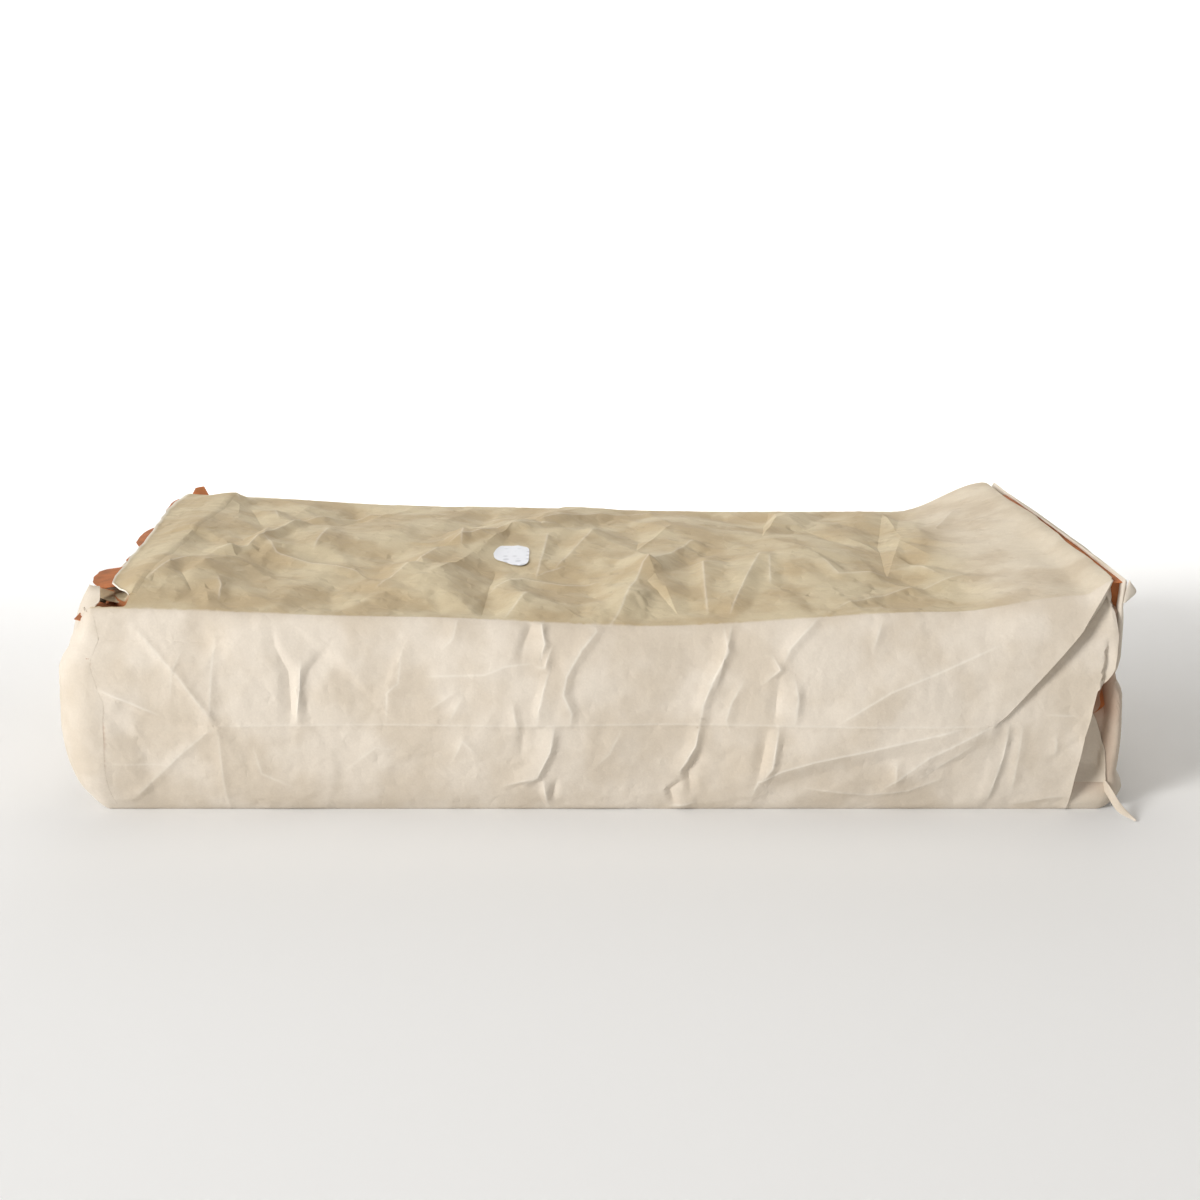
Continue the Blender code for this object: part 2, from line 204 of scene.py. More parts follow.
def near_stroke(points, reach, s, t):
    """Which places (s, t) lie in the box round a line, grown by reach."""
    low = np.min(points, axis=0) - reach
    high = np.max(points, axis=0) + reach
    return (s > low[0]) & (s < high[0]) & (t > low[1]) & (t < high[1])


def run_out_share(share, length):
    """How much of a crease is left at a share of its length: its ends run out."""
    tail = min(0.4 * length, RUN_OUT) / length
    return np.clip(np.minimum(share, 1 - share) / tail, 0, 1) ** 0.8


def pressed(strokes, s, t, run_out=True):
    """The relief of creases, in mm, at places (s, t) in mm on a face.

    Both sides of a crease are flat. Its ends run out, unless run_out is False.
    """
    relief = np.zeros(s.shape)
    for height, left, right, points in strokes:
        mask = near_stroke(points, max(left, right) + 3, s, t)
        if not mask.any():
            continue
        distance, share, length = along_stroke(points, s[mask], t[mask])
        reach = np.where(distance > 0, left, right)
        rounded = np.sqrt(distance**2 + CREST_ROUND**2) - CREST_ROUND
        fall = np.clip(1 - rounded / reach, 0, 1)
        if run_out:
            fall = fall * run_out_share(share, length)
        relief[mask] += height * fall
    return relief


def crest_wear_and_highlight(strokes, s, t, most):
    """How pale the paper is painted at places (s, t) along each crease that stands out: rubbed paper and a
    painted highlight.
    """
    wear_and_highlight = np.zeros(s.shape)
    for height, _, _, points in strokes:
        mask = near_stroke(points, 5 * PALE_CREST_WIDTH, s, t)
        if height < PALE_CREST_HEIGHT or not mask.any():
            continue
        distance, share, length = along_stroke(points, s[mask], t[mask])
        line = most * min(1.0, 0.3 + 0.25 * height) * np.exp(-((distance / PALE_CREST_WIDTH) ** 2))
        wear_and_highlight[mask] = np.maximum(wear_and_highlight[mask], line * run_out_share(share, length))
    return wear_and_highlight


class CrumpleNet:
    """Flat facets of crumpled paper over a face: random peaks joined by triangles.

    The peaks lie about size_s by size_t mm apart, leaned by slant degrees.
    """

    def __init__(self, seed, size_s, size_t, slant, low, high, keep=0.8):
        rng = np.random.default_rng(seed)
        turn = math.radians(slant)
        self.lean = np.array([[math.cos(turn), math.sin(turn)], [-math.sin(turn), math.cos(turn)]])
        self.size = np.array([size_s, size_t])
        corners = np.array([(s, t) for s in (low[0], high[0]) for t in (low[1], high[1])], float)
        reach = corners @ self.lean.T / self.size
        low_u, low_v = reach.min(0).astype(int) - 2
        high_u, high_v = reach.max(0).astype(int) + 3
        peaks, heights = [], []
        for i in range(low_u, high_u):
            for j in range(low_v, high_v):
                shift = rng.uniform(-0.45, 0.45, 2)
                height = rng.uniform(-1, 1)
                edge = i in (low_u, high_u - 1) or j in (low_v, high_v - 1)
                if rng.random() < keep or edge:
                    peaks.append((i + 0.5 * (j % 2) + shift[0], j + shift[1]))
                    heights.append(height)
        corners, _, self.triangles, origins, _, _ = delaunay_2d_cdt(
            [Vector(peak) for peak in peaks], [], [], 0, 1e-6
        )
        self.level = np.array([heights[origin[0]] for origin in origins])
        self.corners = np.array(corners)

    def edges(self):
        """The facets' edges, as lines of two (s, t) points."""
        places = (self.corners * self.size) @ self.lean
        pairs = set()
        for a, b, c in self.triangles:
            pairs.update(tuple(sorted(pair)) for pair in ((a, b), (b, c), (c, a)))
        return [places[list(pair)] for pair in sorted(pairs)]

    def relief(self, s, t):
        """Heights from -1 to 1 at places (s, t) in mm."""
        u, v = (np.stack([s, t], 1) @ self.lean.T / self.size).T
        relief = np.zeros(s.shape)
        for triangle in self.triangles:
            a, b, c = self.corners[triangle]
            low, high = np.minimum(np.minimum(a, b), c), np.maximum(np.maximum(a, b), c)
            inside = np.flatnonzero((u >= low[0]) & (u <= high[0]) & (v >= low[1]) & (v <= high[1]))
            area = (b[0] - a[0]) * (c[1] - a[1]) - (c[0] - a[0]) * (b[1] - a[1])
            du, dv = u[inside] - a[0], v[inside] - a[1]
            share_b = (du * (c[1] - a[1]) - dv * (c[0] - a[0])) / area
            share_c = (dv * (b[0] - a[0]) - du * (b[1] - a[1])) / area
            shares = np.stack([1 - share_b - share_c, share_b, share_c])
            held = (shares >= -1e-9).all(0)
            relief[inside[held]] = self.level[triangle] @ shares[:, held]
        return relief


def swell(seed, size, s, t):
    """Slow lumps about size mm across, from about -1 to 1, from a few sine waves."""
    rng = np.random.default_rng(seed)
    relief = np.zeros(s.shape)
    for _ in range(6):
        angle, phase = rng.uniform(0, math.pi), rng.uniform(0, 2 * math.pi)
        rate = 2 * math.pi / (size * rng.uniform(0.8, 1.6))
        relief += np.sin(rate * (s * math.cos(angle) + t * math.sin(angle)) + phase)
    return relief / 3


# Creases, in mm: (height, reach to the left, reach to the right, points). Left and right are
# those of someone who walks along the points, and a height below 0 is pressed in.
# On the gussets the points are (x, z); on the upper face they are (x, y).
FACTORY_FOLDS = (
    # The gusset's centre fold, whose upper half stands a little proud.
    (0.9, 14, 1.8, ((-234, 61), (228, 61))),
    # The block bottom's folds, which meet at a point on the centre fold.
    (1.0, 4, 3, ((-236, 64), (-258, 93), (-283, 119))),
    (1.0, 7, 4, ((-239, 64), (-235, 114))),
    (1.0, 5, 4, ((-292, 10), (-275, 26), (-255, 45), (-236, 61))),
    (0.6, 4, 3, ((-233, 2), (-234, 17), (-234, 60))),
    (-1.8, 8, 5, ((-290, 73), (-279, 67), (-265, 62), (-250, 60.5), (-236, 62))),
)
FRONT_CREASES = (
    (0.5, 4, 3, ((-262, 76), (-260, 94), (-253, 111))),
    (2.2, 4, 3, ((-306, 84), (-285, 75), (-268, 67))),
    (0.5, 6, 4, ((-303, 36), (-262, 34))),
    # The wedge beside the factory folds.
    (-2.2, 7, 4, ((-190, 60), (-190, 77), (-191, 94), (-199, 109), (-201, 122))),
    (2.6, 4, 5, ((-187, 60), (-184, 84), (-183, 102))),
    (-1.8, 4, 9, ((-179, 66), (-182, 83), (-179, 94), (-164, 112))),
    (0.7, 6, 5, ((-191, 19), (-210, 29), (-214, 49))),
    # The left half.
    (1.1, 7, 9, ((-133, 60), (-132, 81), (-125, 87), (-123, 108))),
    (1.0, 7, 6, ((-100, 106), (-92, 113), (-89, 128))),
    (1.4, 18, 8, ((-110, 91), (-73, 92), (-60, 97), (-41, 99))),
    (0.9, 4, 5, ((-96, 61), (-86, 80))),
    (0.9, 4, 4, ((-108, 70), (-89, 83))),
    (1.1, 5, 5, ((-95, 34), (-87, 51), (-76, 38))),
    (0.8, 9, 7, ((-160, 30), (-140, 46), (-128, 44))),
    # The long upright fold left of the middle.
    (-2.4, 4, 8, ((-52, 96), (-50, 108), (-42, 130))),
    (2.6, 6, 3, ((-41, 97), (-37, 109), (-41, 130))),
    (1.8, 2.5, 4, ((-44, 97), (-37, 96), (-33, 108))),
    (2.2, 4, 10, ((-42, 58), (-41, 69), (-37, 86), (-33, 99))),
    (2.4, 10, 5, ((-22, 58), (-21, 69), (-26, 80), (-24, 91), (-15, 106), (-6, 116), (-9, 124))),
    (1.6, 4, 4, ((-53, 54), (-57, 76))),
    (-1.4, 4, 4, ((-52, 36), (-50, 61))),
    (3.2, 10, 4, ((-53, 19), (-42, 27), (-34, 44), (-31, 63))),
    (1.8, 8, 3, ((-64, 19), (-41, 28))),
    (2.0, 3, 4, ((-36, 3), (-39, 27))),
    (-1.8, 3, 3, ((-34, 7), (-30, 26))),
    (0.9, 7, 6, ((-9, 30), (2, 42), (10, 60))),
    # The right half.
    (2.4, 7, 5, ((56, 59), (58, 73), (65, 91), (73, 105), (70, 120))),
    (1.4, 3, 3, ((65, 83), (72, 106), (76, 124))),
    (3.0, 6, 4, ((43, 25), (54, 47), (57, 65))),
    (-3.2, 4, 5, ((52, 10), (50, 28), (60, 44))),
    (-2.8, 3, 4, ((43, 2), (39, 14), (49, 23))),
    (2.2, 6, 8, ((38, 3), (56, 7))),
    (1.5, 4, 5, ((75, 53), (72, 64), (75, 75), (83, 90))),
    (1.8, 3, 3, ((93, 86), (104, 95), (98, 105))),
    (1.8, 5, 4, ((104, 95), (110, 107), (131, 128))),
    (2.2, 12, 4, ((113, 60), (115, 78), (112, 92))),
    (-1.8, 6, 3, ((101, 58), (102, 77), (104, 94))),
    (2.8, 7, 4, ((93, 22), (101, 34), (104, 62))),
    (-2.2, 6, 3, ((91, 18), (95, 40), (98, 60))),
    (3.4, 26, 10, ((88, 8), (93, 23), (107, 31), (126, 38), (153, 44), (192, 54), (216, 60))),
    (2.8, 14, 10, ((168, 16), (195, 40), (214, 51), (236, 63))),
    (1.0, 3, 5, ((177, 18), (176, 40))),
    (1.1, 6, 3, ((120, 18), (160, 13), (185, 16), (208, 26))),
    (1.1, 4, 4, ((159, 105), (166, 126))),
    (2.0, 22, 22, ((138, 62), (170, 82), (200, 94), (236, 110))),
    (1.2, 8, 5, ((188, 22), (205, 36), (224, 51))),
    # Between the diagonal fold and the fold edge at the mouth.
    (2.2, 8, 3, ((234, 5), (237, 20), (241, 40), (243, 62))),
    (1.2, 4, 5, ((249, 9), (251, 62))),
    (0.9, 3, 3, ((264, 67), (285, 66))),
    (0.9, 4, 3, ((273, 36), (272, 56))),
    (1.1, 5, 3, ((253, 5), (272, 10), (288, 12))),
)
TOP_CREASES = (
    # The sharp bright ridge with its star of branches.
    (5.5, 15, 8, ((-264, -54), (-243, -36), (-238, 0), (-220, 66))),
    (2.4, 7, 4, ((-240, -4), (-242, 36))),
    (3.0, 14, 9, ((-238, -8), (-223, -40), (-155, -82))),
    (5.0, 14, 20, ((-226, 70), (-170, 126))),
    (2.8, 10, 14, ((-200, -30), (-199, 38))),
    (2.6, 12, 9, ((-242, 66), (-251, 101), (-270, 111))),
    (2.0, 12, 10, ((-282, 122), (-306, 190))),
    (3.6, 18, 14, ((-288, -132), (-274, -62))),
    (3.0, 8, 6, ((-237, -153), (-240, -130), (-247, -110))),
    # Slanting waves across the middle.
    (5.0, 26, 14, ((-146, -120), (-128, -70), (-112, -16))),
    (3.0, 12, 6, ((-100, -16), (-104, 54))),
    (3.8, 18, 11, ((-110, -12), (-77, 33), (-34, 66))),
    (3.0, 12, 10, ((-50, 68), (-66, 84), (-95, 119))),
    (3.0, 14, 12, ((-50, 68), (-4, 117), (52, 139))),
    (4.0, 14, 9, ((-46, -70), (-41, 28))),
    (2.4, 6, 9, ((-48, -68), (-26, -44))),
    (2.8, 12, 10, ((-76, -112), (-54, -78), (-27, -86), (-3, -80))),
    (6.0, 24, 16, ((0, -176), (10, -145), (24, -72), (64, 18))),
    (4.2, 12, 18, ((-34, -50), (-2, 56))),
    (4.2, 10, 16, ((62, -150), (65, -42))),
    (5.0, 18, 10, ((75, -155), (92, -90), (107, -26))),
    (2.6, 10, 8, ((-63, -170), (-46, -112))),
    (2.8, 8, 8, ((105, -106), (111, -38))),
    (3.0, 10, 8, ((144, -52), (151, -88), (186, -79))),
    # Where the slack paper turns up to the mouth.
    (-4.5, 30, 14, ((203, -64), (214, 60), (234, 156))),
    (2.4, 11, 8, ((138, -154), (187, -112), (234, -83))),
    (2.6, 13, 8, ((242, 58), (270, 119))),
    (2.0, 8, 8, ((201, -52), (221, -84))),
)
# The diagonal fold at the mouth, from the centre fold's end up to the top corner.
MOUTH_DIAGONAL = (
    (232, 60), (240, 67), (256, 86), (272, 104), (284, 118), (294, 134), (304, 150),
)
MOUTH_RIDGE_LINES = (302.6, 304.1, 305.6)  # across the upper face where it turns down
# The gusset's fold edge at the mouth.
MOUTH_EDGE_Z = (0, 27, 41, 53, 64, 72, 82, 88, 95, 105, 118, 130)
MOUTH_EDGE_X = (285, 286.5, 288, 289, 291.5, 292.5, 294.5, 301, 306.5, 309, 309.8, 309.5)
LEFT_FOLD = ((295, 70), (296.8, 86), (298, 98), (299.5, 113))  # (x, z) of a fold in the tuck
LEFT_FOLD_DROP = 3.5
TUCK_WALL = 1.6  # mm over which the tucked paper drops
TUCK_DEPTH = (2.0, 10.5)  # mm below the diagonal fold at its start, and how much more at its end
TUCK_REACH = 42  # mm over which the tuck rises again, away from the diagonal fold
FOLD_LIP, FOLD_LIP_REACH = 1.4, 7  # mm that the diagonal fold stands proud, and over which
PAST_EDGE_DEPTH = 17.0  # mm, the tuck past the fold edge
EDGE_ROLL, EDGE_ROLL_REACH = 1.2, 4  # mm that the fold edge stands proud, and over which
RIM_ROUND, RIM_REACH = 0.5, 1.3  # mm, how far the long folds are rounded off, and over which
BASE_DENT = 4.2  # mm, the long dent below the upper edge at the block bottom
BASE_DENT_BELOW = 17  # mm below the upper edge
BASE_DENT_REACH = (15, 12)  # mm up and down over which it runs out
BASE_DENT_S = (-245, -222)  # where it ends
TOP_HALF_WIDTH = 169  # mm
PANEL_SWELL, PANEL_SWELL_S = 6.0, (-302, -270)  # mm that the upper face rises at the block bottom
FLOOR_GAP = 0.2 * MM  # from the floor to the paper that lies on it
# Where the relief is calmer: how many mm in from a face's edges, and near the sticker, the mouth
# and the block bottom, each with the share that is gone.
GUSSET_RIM, GUSSET_FOOT, TOP_RIM = 12, 22, 26
STICKER_CALM, STICKER_CALM_REACH = 0.75, 30
MOUTH_CALM, MOUTH_CALM_S = 0.6, (215, 260)
BASE_CALM, BASE_CALM_S = 0.6, (-309, -280)
GUSSET_SWELL, TOP_SWELL = 1.6, 1.5  # mm, the slow lumps
SEAM_CALM = 2.5  # mm from a long fold to where the relief is whole

# The sticker, in mm: its middle, how far it leans to the front, and its outline about it.
STICKER_MIDDLE = (500 * (STICKER_LOW.x + STICKER_HIGH.x), 500 * (STICKER_LOW.y + STICKER_HIGH.y))
STICKER_TILT = 0.09
STICKER_LIFT = 0.55  # mm off the paper
STICKER_LEVELLED = 0.35  # how far it bridges the hollows below it
STICKER_OUTLINE = (
    (-12.2, 2.5), (-10.5, 12), (-7, 20), (0, 21), (7.5, 20.5), (11.5, 15), (12.3, 0), (12.2, -14),
    (9.5, -20.5), (3, -19), (-4, -12), (-10.5, -6),
)

# The block bottom's loose plies, in mm.
# (x, y) on the upper face: to the left of this line lies the recess between the loose plies.
CUT_CORNER = ((-290, -169), (-291, -148), (-303, -133), (-314, -112), (-338, -98))
CORNER_RECESS = 18.0  # how deep it is
END_DRAWN = 0.35  # how far the end is drawn in at its top, as a share
CORNER_DRAWN = 0.35  # how much more it is drawn in at its upper front corner
CORNER_DRAWN_Y = (-160, -95)
CORNER_DRAWN_Z = (98, 130)
UNDER_PANEL_X = (-299, -291)
PANEL_RESTS = (-282, -290)  # where the panel still lies on the paper below
PANEL_LIFTS = (-1.2, 0.6)  # mm off that paper at both ends of this stretch
PANEL_RISES_OVER = 12  # mm from there to its full height
EDGE_RAGGED = 0.3  # mm, how uneven the cut edges are
INSIDE_Z = 90  # mm, a height inside the sack, from which the paper above is looked for
UNDER_PANEL_Z = 126.5  # how high the tube is at most under the upper panel's loose end
TOP_CUT_EDGE = (  # (y, x) of the upper panel's free edge
    (-150, -292), (-143, -296), (-133, -303), (-125, -309), (-110, -312), (-90, -312.5),
    (-75, -314), (-28, -317.5), (41, -324.5), (95, -331), (160, -334), (170, -334.2),
)
PANEL_PLIES = 2  # the panel's end is two plies thick
TOP_CUT_RISE = ((-150, 131), (-125, 134.5), (-60, 136.5), (40, 137), (120, 137), (170, 134.5))
INNER_PLY_SHOWS = (  # (y, how far the inner ply shows past the upper panel)
    (-124, 6), (-117, 11), (-108, 15), (-97, 17), (-85, 17), (-78, 12), (-73, 1), (-68, 0), (-56, 5),
    (-45, 5), (-38, 0), (-25, 1), (-15, 4), (0, 9), (30, 9), (47, 4), (56, 0), (95, 0), (108, 5),
    (150, 8), (168, 8),
)
INNER_PLY_UNDER = 4  # mm that it reaches in under the panel
INNER_PLY_BELOW = 1.4  # mm below the panel's edge
INNER_PLY_SINKS = 2.2  # mm more at its own edge
# Small sheets: the two edges of each, as (x, y, z).
BASE_STRIP = (
    ((-331, -103, 124.5), (-320.5, -99, 125.5), (-309.5, -111, 126), (-290, -125, 128)),
    ((-331, -106, 123), (-320, -118, 124), (-308, -132, 124.5), (-287, -141, 127)),
)
BASE_FLAP_CORNER = (
    ((-329.5, -152, 100), (-329.5, -142, 112), (-327.5, -133, 124), (-322.8, -127, 134.5)),
    ((-311.5, -168, 117), (-308.3, -167, 130), (-311.5, -146, 129), (-317.5, -124, 132.5)),
)
BASE_BROWN_PATCH = (
    ((-329, -108, 121), (-318, -122, 121.5), (-303, -134, 122), (-293, -146, 124)),
    ((-324, -158, 120.5), (-315, -163.5, 120.5), (-302, -163.5, 121.5), (-290, -162, 124)),
)
BASE_BACK_EAR = (((-337, 171, 124), (-330, 177, 138.2)), ((-315, 172, 127), (-323, 177, 139.7)))
FLAP_FOOT_Z = 5
FLAP_END_HIGHER = 33  # its lower edge on the end
FLAP_TOP_Z = 127.5
FLAP_END_LOWER = 10.0  # its upper edge on the end
FLAP_AXIS = (-285, 140)  # (x, y) of the upright line that its corners turn round
GUSSET_FROM_AXIS = 44  # how far that line is from the gusset's paper
FLAP_END_Y = 136
FLAP_FROM_X = -290  # inside the sack, from which the end's paper is looked for
FLAP_LIFTS = (0.12, 0.6)  # mm off the paper at its edge on the gusset, and how much more elsewhere
FLAP_JUMP = 5  # mm, a step that the flap doesn't follow
FLAP_FRONT_EDGE = (  # (z, x) of the outer flap's edge on the gusset
    (5, -310), (24, -307.3), (50, -303), (75, -301.5), (90, -308), (97, -311.3), (111, -312),
    (128, -318),
)
# Where the flap stands off the gusset, painted brown: the inner ply and a painted shadow line. (x, z)
# lines and their half width.
BROWN_GAPS = (
    (((-310.9, 91), (-311.0, 98), (-311.6, 111)), 0.7),
    (((-314.0, 115.5), (-312.8, 112.5)), 1.9),
    (((-302.5, 74), (-304.5, 50), (-307.5, 26)), 0.35),
)

# The folded-over mouth, in mm: (x, z) down its inner and its outer ply, at its ends and middle.
MOUTH_SIDE_INNER = (
    (309.2, 147), (308.9, 139), (308.3, 131), (308.4, 122), (308.3, 114), (307.5, 105),
    (306.3, 95), (305.2, 90), (304.2, 85),
)
MOUTH_SIDE_OUTER = (
    (312.4, 147), (311.6, 139), (310.9, 131), (311.9, 122), (312.1, 110), (312.2, 98),
    (310.9, 91), (308.6, 86), (306.6, 82.5),
)
MOUTH_MIDDLE_OUTER = (
    (310.8, 147.5), (316.5, 143.5), (322, 136.5), (326.6, 127.5), (330, 116), (331.9, 104),
    (332.4, 94), (331.2, 87.5), (329, 83),
)
MOUTH_PLIES_APART = 4.2  # between the two plies in the middle
MOUTH_DRAWN = 0.72  # how far the tube's corners are drawn in behind the mouth, as a share
MOUTH_LIP = 5.5  # how far past the fold the gusset's edge stays where it is
MOUTH_DRAWN_Y = (95, 150)
MOUTH_DRAWN_Z = (76, 90)
MOUTH_CORNER_IN = 10.0  # how far those corners are drawn in towards the middle
MOUTH_HALF_WIDTH = 167.0
MOUTH_ENDS = 100.0  # how long the ends are that lie closer in
MOUTH_END_RADIUS = 1.8  # of the bend from one ply to the other at each end
MOUTH_FOLD_SHARE = 0.06  # the share of the way down over which the two plies part
MOUTH_TOP = ((-167, 147.3), (-100, 148), (0, 147), (90, 145.5), (167, 144.5))  # (y, z)

# The cut edge of the ply tucked in below the mouth, (z, x), and the small sheets that hang from
# the mouth: name, the paper that faces out, their two edges, bow and facing.
TUCKED_EDGE = (
    (18, 309), (27, 308.3), (39, 306.5), (49, 303.8), (59, 300), (64, 297.0),
)
MOUTH_SHEETS = (
    ("mouth_gap_ridge", "inner", (
        ((304.0, -166, 145.2), (304.0, -60, 145.6), (304.0, 40, 145.6), (304.0, 120, 144.0)),
        ((309.6, -166, 145.6), (309.6, -60, 146.2), (309.6, 40, 145.6), (309.6, 120, 143.6)),
    ), (0, 0, 0), (0, 0, 1)),
    ("mouth_gap_front", "inner", (
        ((300.5, -160, 146.3), (301.5, -160, 138), (303.5, -160, 131), (305.0, -160, 122),
         (305.5, -160, 114), (305.0, -160, 105), (304.0, -160, 95), (302.0, -160, 84)),
        ((313.0, -163.5, 145), (312.6, -163.5, 138), (311.9, -163.5, 131), (312.0, -163.5, 122),
         (311.8, -163.5, 114), (311.2, -163.5, 105), (309.9, -163.5, 95), (307.0, -162.5, 84)),
    ), (0, 0, 0), (0, -1, 0)),
    ("mouth_brown_ply", "inner", (
        ((290, -158, 63), (293, -158, 70), (299, -160, 78), (304, -161, 85)),
        ((298.5, -165.5, 62.5), (304.2, -166, 67.5), (306.5, -166, 75), (309.5, -166, 83.5)),
    ), (0, 0, 0), (0, -1, 0)),
    ("mouth_dog_ear", "outer", (
        ((313.0, -167, 147), (311.3, -168, 141), (310.2, -168, 133)),
        ((314.0, -166.5, 146), (318.6, -165, 139), (312.5, -167, 133.6)),
    ), (0, -0.8, 0), (0, -1, 0)),
    ("floor_ear", "outer", (
        ((306.0, -163, 22), (310, -170, 17.5), (316, -180, 8), (323, -187.5, 1.2)),
        ((307.2, -164, 15), (309.3, -171, 10.5), (313, -181, 4.5), (322, -188, 0.7)),
    ), (0, 0, 0.8), (0, -1, 0.4)),
)

# The paper's looks, in metres. The fibres are drawn coarser than real ones, so that they show.
PATCH_WIDTH = 42 * MM
FIBRE_LENGTH = 1.4 * MM
FACET_WIDTH = 11 * MM
WRINKLE_WIDTH = 15 * MM

# The stage, in metres and degrees.
SACK_MIDDLE = (0, 0, 0.05)
KEY_PLACE = (-3.6, -3.1, 2.0)
CAMERA_PLACE = (-0.004, -1.109, 0.38)
CAMERA_LOOKS_DOWN = 14.6
FLOOR_SIZE = 18
FLOOR_MIDDLE_Y = -4.6
BACKDROP_HEIGHT = 6


def smooth_section(x):
    """A ring round the filled tube at x, from the front foot over the top and round, in metres."""
    front, back = eased_between(FRONT_EDGE, x), eased_between(BACK_EDGE, x)
    up = np.linspace(0, 1, FACE_ROWS["front"] + 1)
    across = np.linspace(0, 1, FACE_ROWS["top"] + 1)
    down = np.linspace(1, 0, FACE_ROWS["back"] + 1)
    under = np.linspace(1, 0, FACE_ROWS["floor"] + 1)
    side = {}
    for name, share, height, turn in (("front", up, front, -1), ("back", down, back, 1)):
        half = FOOT_HALF_WIDTH + (HALF_WIDTH - FOOT_HALF_WIDTH) * share
        arch = GUSSET_BULGE * np.sin(np.pi * share) ** GUSSET_ARCH
        side[name] = np.stack([turn * (half + arch), height * share], 1)
    crown = CROWN * (1 - (2 * across - 1) ** 2) * (1 - CROWN_LOST * faded(x, *CROWN_FADES_X))
    top = np.stack([HALF_WIDTH * (2 * across - 1), front + (back - front) * across + crown], 1)
    floor = np.stack([FOOT_HALF_WIDTH * (2 * under - 1), 0 * under], 1)
    return np.concatenate([side["front"], top[1:], side["back"][1:], floor[1:]])


def end_ring(x, angle, side):
    """A ring on the rounded way from the fold at x to the flat of the end."""
    base = side < 0
    bulge = BASE_BULGE if base else MOUTH_BULGE
    foot_lift = BASE_FOOT_LIFT if base else MOUTH_FOOT_LIFT
    top_drop = BASE_TOP_DROP if base else MOUTH_TOP_DROP
    ring = smooth_section(x)
    inset = CORNER_INSET * (1 - math.cos(angle))
    drop = top_drop * ((1 - math.cos(angle)) if base else math.sin(angle) ** 1.2)
    lift = foot_lift * math.sin(angle) ** 1.5
    top = ring[:, 1].max()
    y = ring[:, 0] * (1 - inset / HALF_WIDTH)
    z = lift + ring[:, 1] * (1 - (lift + drop) / top)
    return np.stack([np.full(len(y), x + side * bulge * math.sin(angle)), y, z], 1)


def tube_lattice():
    """The smooth tube: a grid of places, and each column's x in mm."""
    angles = 0.5 * math.pi * np.arange(1, END_COLUMNS + 1) / END_COLUMNS
    straight = int(round((MOUTH_FOLD_X - BASE_FOLD_X) / COLUMN_STEP))
    rings = [end_ring(BASE_FOLD_X, angle, -1) for angle in angles[::-1]]
    for x in np.linspace(BASE_FOLD_X, MOUTH_FOLD_X, straight + 1):
        ring = smooth_section(x)
        rings.append(np.column_stack([np.full(len(ring), x), ring]))
    rings += [end_ring(MOUTH_FOLD_X, angle, 1) for angle in angles]
    rings = np.array(rings)
    return rings, rings[:, 0, 0] / MM


def surface_normals(points):
    """Outward normals of a grid of points whose rings close on themselves."""
    along = np.gradient(points, axis=0)
    round_ = np.empty_like(points)
    round_[:, 1:-1] = points[:, 2:] - points[:, :-2]
    round_[:, 0] = round_[:, -1] = points[:, 1] - points[:, -2]
    normals = np.cross(along, round_)
    lengths = np.linalg.norm(normals, axis=2, keepdims=True)
    return normals / np.maximum(lengths, 1e-12)


